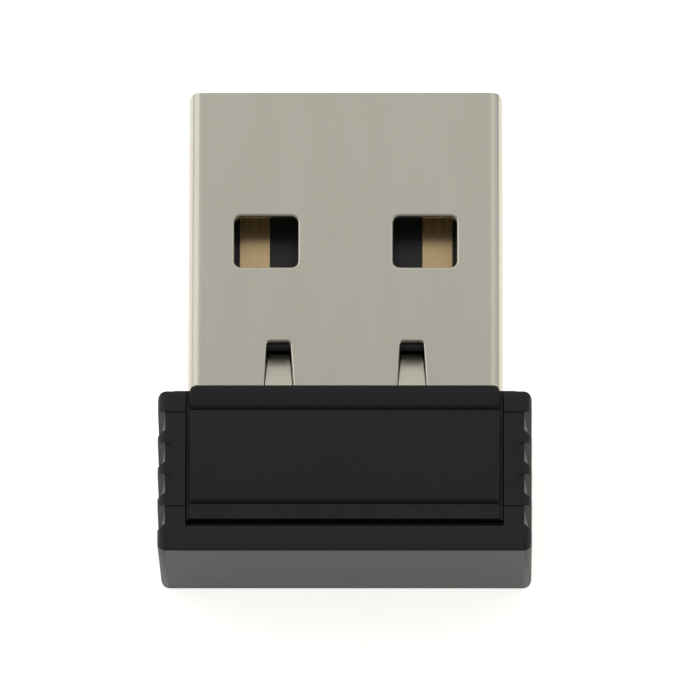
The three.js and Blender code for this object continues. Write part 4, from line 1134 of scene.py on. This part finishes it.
@dataclass
class OuterCap:
    """The U-shaped grip cap with finger notches along the edges of its arms."""

    slot_fit: float = 0.04
    side_wall: float = 0.55
    end_wall: float = 0.6
    lip: float = 0.62
    corner: float = 0.33
    rim: float = 0.09
    side_round: float = 0.34  # along the edges that the fingers hold
    slot_rim: float = 0.05
    end_band: float = 0.965
    notches: int = 4
    notch_length: float = 0.72
    notch_runout: float = 0.22
    notch_inset: float = 0.29
    notch_shallow: float = 0.5
    notch_tall: float = 3.1
    notch_from_arm: float = 0.8
    notch_from_end: float = 1.76
    step_depth: float = 0.06
    scoop_width: float = 0.55
    scoop_flare: float = 0.3  # how far a scoop widens towards the slot
    scoop_wall: float = 0.12  # width of its sloping side
    catch: Size = (0.19, 0.9, 0.85)  # recess: deep, along and high
    catch_from_end: float = 2.0

    def __post_init__(self) -> None:
        """Reads the cap's place from the frame."""
        extent = Extent.of("outer_cap")
        self.extent = extent
        self.half = extent.high.x
        self.end, self.arm = extent.span(1)
        self.thickness = extent.high.z
        self.middle = extent.middle.z
        self.slot_half = Extent.of("plug_shell").high.x + self.slot_fit

    def starts(self) -> list[float]:
        """Where each notch starts, on its side towards the plug."""
        first = self.arm - self.notch_from_arm
        last = self.end + self.notch_from_end
        return [first + (last - first) * i / (self.notches - 1) for i in range(self.notches)]

    def notch(self, y: float) -> list[Solid]:
        """The cutters of a right front notch: it deepens down the side and ends in a short run-out.

        Args:
            y: Where it starts.

        Returns:
            The cutter of its length and the cutter of its run-out.
        """
        face = self.thickness

        def slice_at(place: float, inset: float, tall: float, past: float) -> list[Size]:
            """The cutter's outline at a place along Y, which runs some way past the arm."""
            return [(self.half - inset, place, face + past), (self.half - inset, place, face),
                    (self.half, place, face - tall), (self.half + past, place, face - tall),
                    (self.half + past, place, face + past)]

        deepest = y - self.notch_length
        near, far = PAST, PAST / 2  # so that the two cutters share no outer face
        return [
            Solid.hull([*slice_at(y, self.notch_inset, self.notch_shallow, near),
                        *slice_at(deepest, self.notch_inset, self.notch_tall, near)]),
            Solid.hull([*slice_at(deepest, self.notch_inset, self.notch_tall, far),
                        *slice_at(deepest - self.notch_runout, 0.0, self.notch_tall, far)]),
        ]

    def step(self, y: float, pitch: float, wide: bool) -> Solid:
        """The cutter of the step in a right arm's front face at a notch, which ramps up again.

        Args:
            y: Where it starts.
            pitch: The distance to the next notch.
            wide: Whether it runs across the arm, as the first and last do, or is a flared scoop.

        Returns:
            The cutter.
        """
        face, above = self.thickness, self.thickness + PAST / 3
        out = self.half + PAST / 3
        end = y - pitch + self.notch_runout
        if wide:
            plan = [(self.slot_half - PAST, y), (self.slot_half - PAST, end), (out, end), (out, y)]
            return Solid.hull([(u, v, above) for u, v in plan]
                              + [(u, v, face - self.step_depth if v == y else face) for u, v in plan])
        inner = self.half - self.scoop_width
        flare = y - self.scoop_flare
        flare_depth = self.step_depth * (flare - end) / (y - end)
        rim = [(inner, y, face), (inner - self.scoop_flare, flare, face), (inner, end, face)]
        floor = [(inner + self.scoop_wall, y, face - self.step_depth),
                 (inner - self.scoop_flare + self.scoop_wall, flare, face - flare_depth),
                 (out, end, face), (out, y, face - self.step_depth)]
        lid = [(inner, y, above), (inner - self.scoop_flare, flare, above), (inner, end, above),
               (out, end, above), (out, y, above)]
        return Solid.hull([*rim, *floor, *lid])

    def catch_recess(self) -> Solid:
        """The right recess for the inner shells' catches."""
        deep, along, high = self.catch
        inner = self.half - self.side_wall
        y = self.end + self.catch_from_end
        return Solid.block((inner - PAST / 4, inner + deep), (y - along / 2, y + along / 2),
                           (self.middle - high, self.middle + high))

    def build(self) -> bpy.types.Object:
        """Shapes the cap."""
        sides, faces = (-self.half, self.half), self.extent.span(2)
        cap = Solid.block(*self.extent.spans)
        cap.soften(Planes(x=sides, y=(self.end, self.arm)), self.corner, segments=8)
        cap.soften(Planes(z=faces), self.rim, segments=3)
        bar = Solid.block(sides, (self.end - PAST, self.arm + PAST), faces)
        cap.combine(Operation.TRIM, [bar.soften(Planes(x=sides, z=faces), self.side_round, segments=7)])
        cavity_half = self.half - self.side_wall
        cavity = Solid.block((-cavity_half, cavity_half), (self.end + self.end_wall, self.arm + PAST),
                             (self.lip, self.thickness - self.lip))
        floor = self.end + self.end_band
        slot = Solid.block((-self.slot_half, self.slot_half), (floor, self.arm + PAST),
                           (-PAST, self.thickness + PAST))
        slot.soften(Planes(x=(-self.slot_half, self.slot_half), y=(floor,)), self.slot_rim)
        cap.combine(Operation.CARVE, [slot])
        cap.soften(Planes(x=(-self.slot_half, self.slot_half), z=faces), self.slot_rim)
        cap.soften(Planes(y=(floor,), z=faces), self.slot_rim)
        starts = self.starts()
        pitch = starts[0] - starts[1]
        right_front = [self.catch_recess()]
        for i, y in enumerate(starts):
            wide = i in (0, self.notches - 1)
            right_front += [*self.notch(y), self.step(y, pitch, wide)]
        fronts = [*right_front, *(cutter.mirrored(0) for cutter in right_front)]
        cutters = [*fronts, *(cutter.mirrored(2, self.middle) for cutter in fronts)]
        cap.combine(Operation.CARVE, [cavity, *cutters])
        cap.merge_flats(NEAR / 2)  # where a step's edge grazes the slot's rim
        return cap.finish("outer_cap", Slot.HOUSING_PLASTIC, MOULDED_ABS)


# ---------------------------------------------------------------- studio


@dataclass
class Studio:
    """The pale floor, the soft lights and the camera."""

    elevation: float = 76.98  # degrees
    side_step: float = 0.58  # degrees towards +X
    distance: float = 500.0
    lens: float = 672.1
    aim: Size = (0.157, -0.491, 3.5)  # millimetres
    floor_size: float = 2000.0
    floor_colour: str = "#f4f3f0"
    floor_glow: float = 0.81
    floor_roughness: float = 0.8
    floor_gap: float = 0.02  # under the adapter, so that the two faces don't coincide
    room_light: float = 0.3
    softboxes: tuple[tuple[str, Size, float, float], ...] = (  # name, place, width and brightness
        ("back_softbox", (0, 272, 245), 600, 0.46),
        ("left_softbox", (-470, 110, 310), 500, 0.85),
        ("right_softbox", (448, 30, 350), 520, 0.42),
    )

    def build(self) -> None:
        """Sets up the floor, the lights, the surroundings and the camera."""
        self.floor()
        self.surroundings()
        for softbox in self.softboxes:
            self.light(*softbox)
        self.camera()

    def floor(self) -> None:
        """A pale, evenly glowing sheet of translucent acrylic under the adapter."""
        plane = Solid()
        bmesh.ops.create_grid(plane.mesh, x_segments=1, y_segments=1, size=self.floor_size / 2,
                              matrix=Matrix.Translation((0, 0, -self.floor_gap)))
        obj = plane.to_object("floor", METRES_PER_MM)
        material = bpy.data.materials.new("pale_acrylic_light_table")
        material.use_nodes = True
        shader = material.node_tree.nodes["Principled BSDF"]
        shader.inputs["Base Color"].default_value = linear(self.floor_colour)
        shader.inputs["Roughness"].default_value = self.floor_roughness
        shader.inputs["Emission Color"].default_value = linear(self.floor_colour)
        shader.inputs["Emission Strength"].default_value = self.floor_glow
        obj.data.materials.append(material)

    def surroundings(self) -> None:
        """The even grey light of the room."""
        world = bpy.data.worlds.new("room")
        world.use_nodes = True
        sky = world.node_tree.nodes["Background"]
        sky.inputs["Color"].default_value = linear("#ffffff")
        sky.inputs["Strength"].default_value = self.room_light
        bpy.context.scene.world = world
        bpy.context.scene.view_settings.view_transform = "Standard"

    def light(self, name: str, place: Size, size: float, brightness: float) -> None:
        """A square softbox turned to the adapter.

        Args:
            name: The light's name.
            place: Where it hangs, in millimetres.
            size: Its width, in millimetres.
            brightness: How bright its face is.
        """
        data = bpy.data.lights.new(name, "AREA")
        data.shape = "SQUARE"
        data.size = size * METRES_PER_MM
        data.energy = brightness * data.size ** 2 * math.pi
        light = bpy.data.objects.new(name, data)
        light.location = Vector(place) * METRES_PER_MM
        light.rotation_euler = light.location.to_track_quat("Z", "Y").to_euler()
        bpy.context.scene.collection.objects.link(light)

    def camera(self) -> None:
        """A long lens that looks steeply down on the front face."""
        data = bpy.data.cameras.new("camera")
        data.lens = self.lens
        data.clip_start = self.distance * METRES_PER_MM / 10
        camera = bpy.data.objects.new("camera", data)
        tilt, step = math.radians(self.elevation), math.tan(math.radians(self.side_step))
        back = Vector((step, -math.cos(tilt), math.sin(tilt))).normalized()
        right = (Vector((1, 0, 0)) - back.x * back).normalized()
        turn = Matrix((right, back.cross(right), back)).transposed().to_4x4()
        place = (Vector(self.aim) + self.distance * back) * METRES_PER_MM
        camera.matrix_world = Matrix.Translation(place) @ turn
        bpy.context.scene.collection.objects.link(camera)
        bpy.context.scene.camera = camera


def main() -> None:
    """Builds the sub-assemblies in order."""
    logging.basicConfig(level=logging.INFO, format="%(name)s: %(message)s")
    Studio().build()
    PlugShell().build()
    PlugCarrier().build()
    Board().build()
    BoardParts().build()
    for side in Side:
        InnerShell(side).build()
    OuterCap().build()


if __name__ == "__main__":
    main()
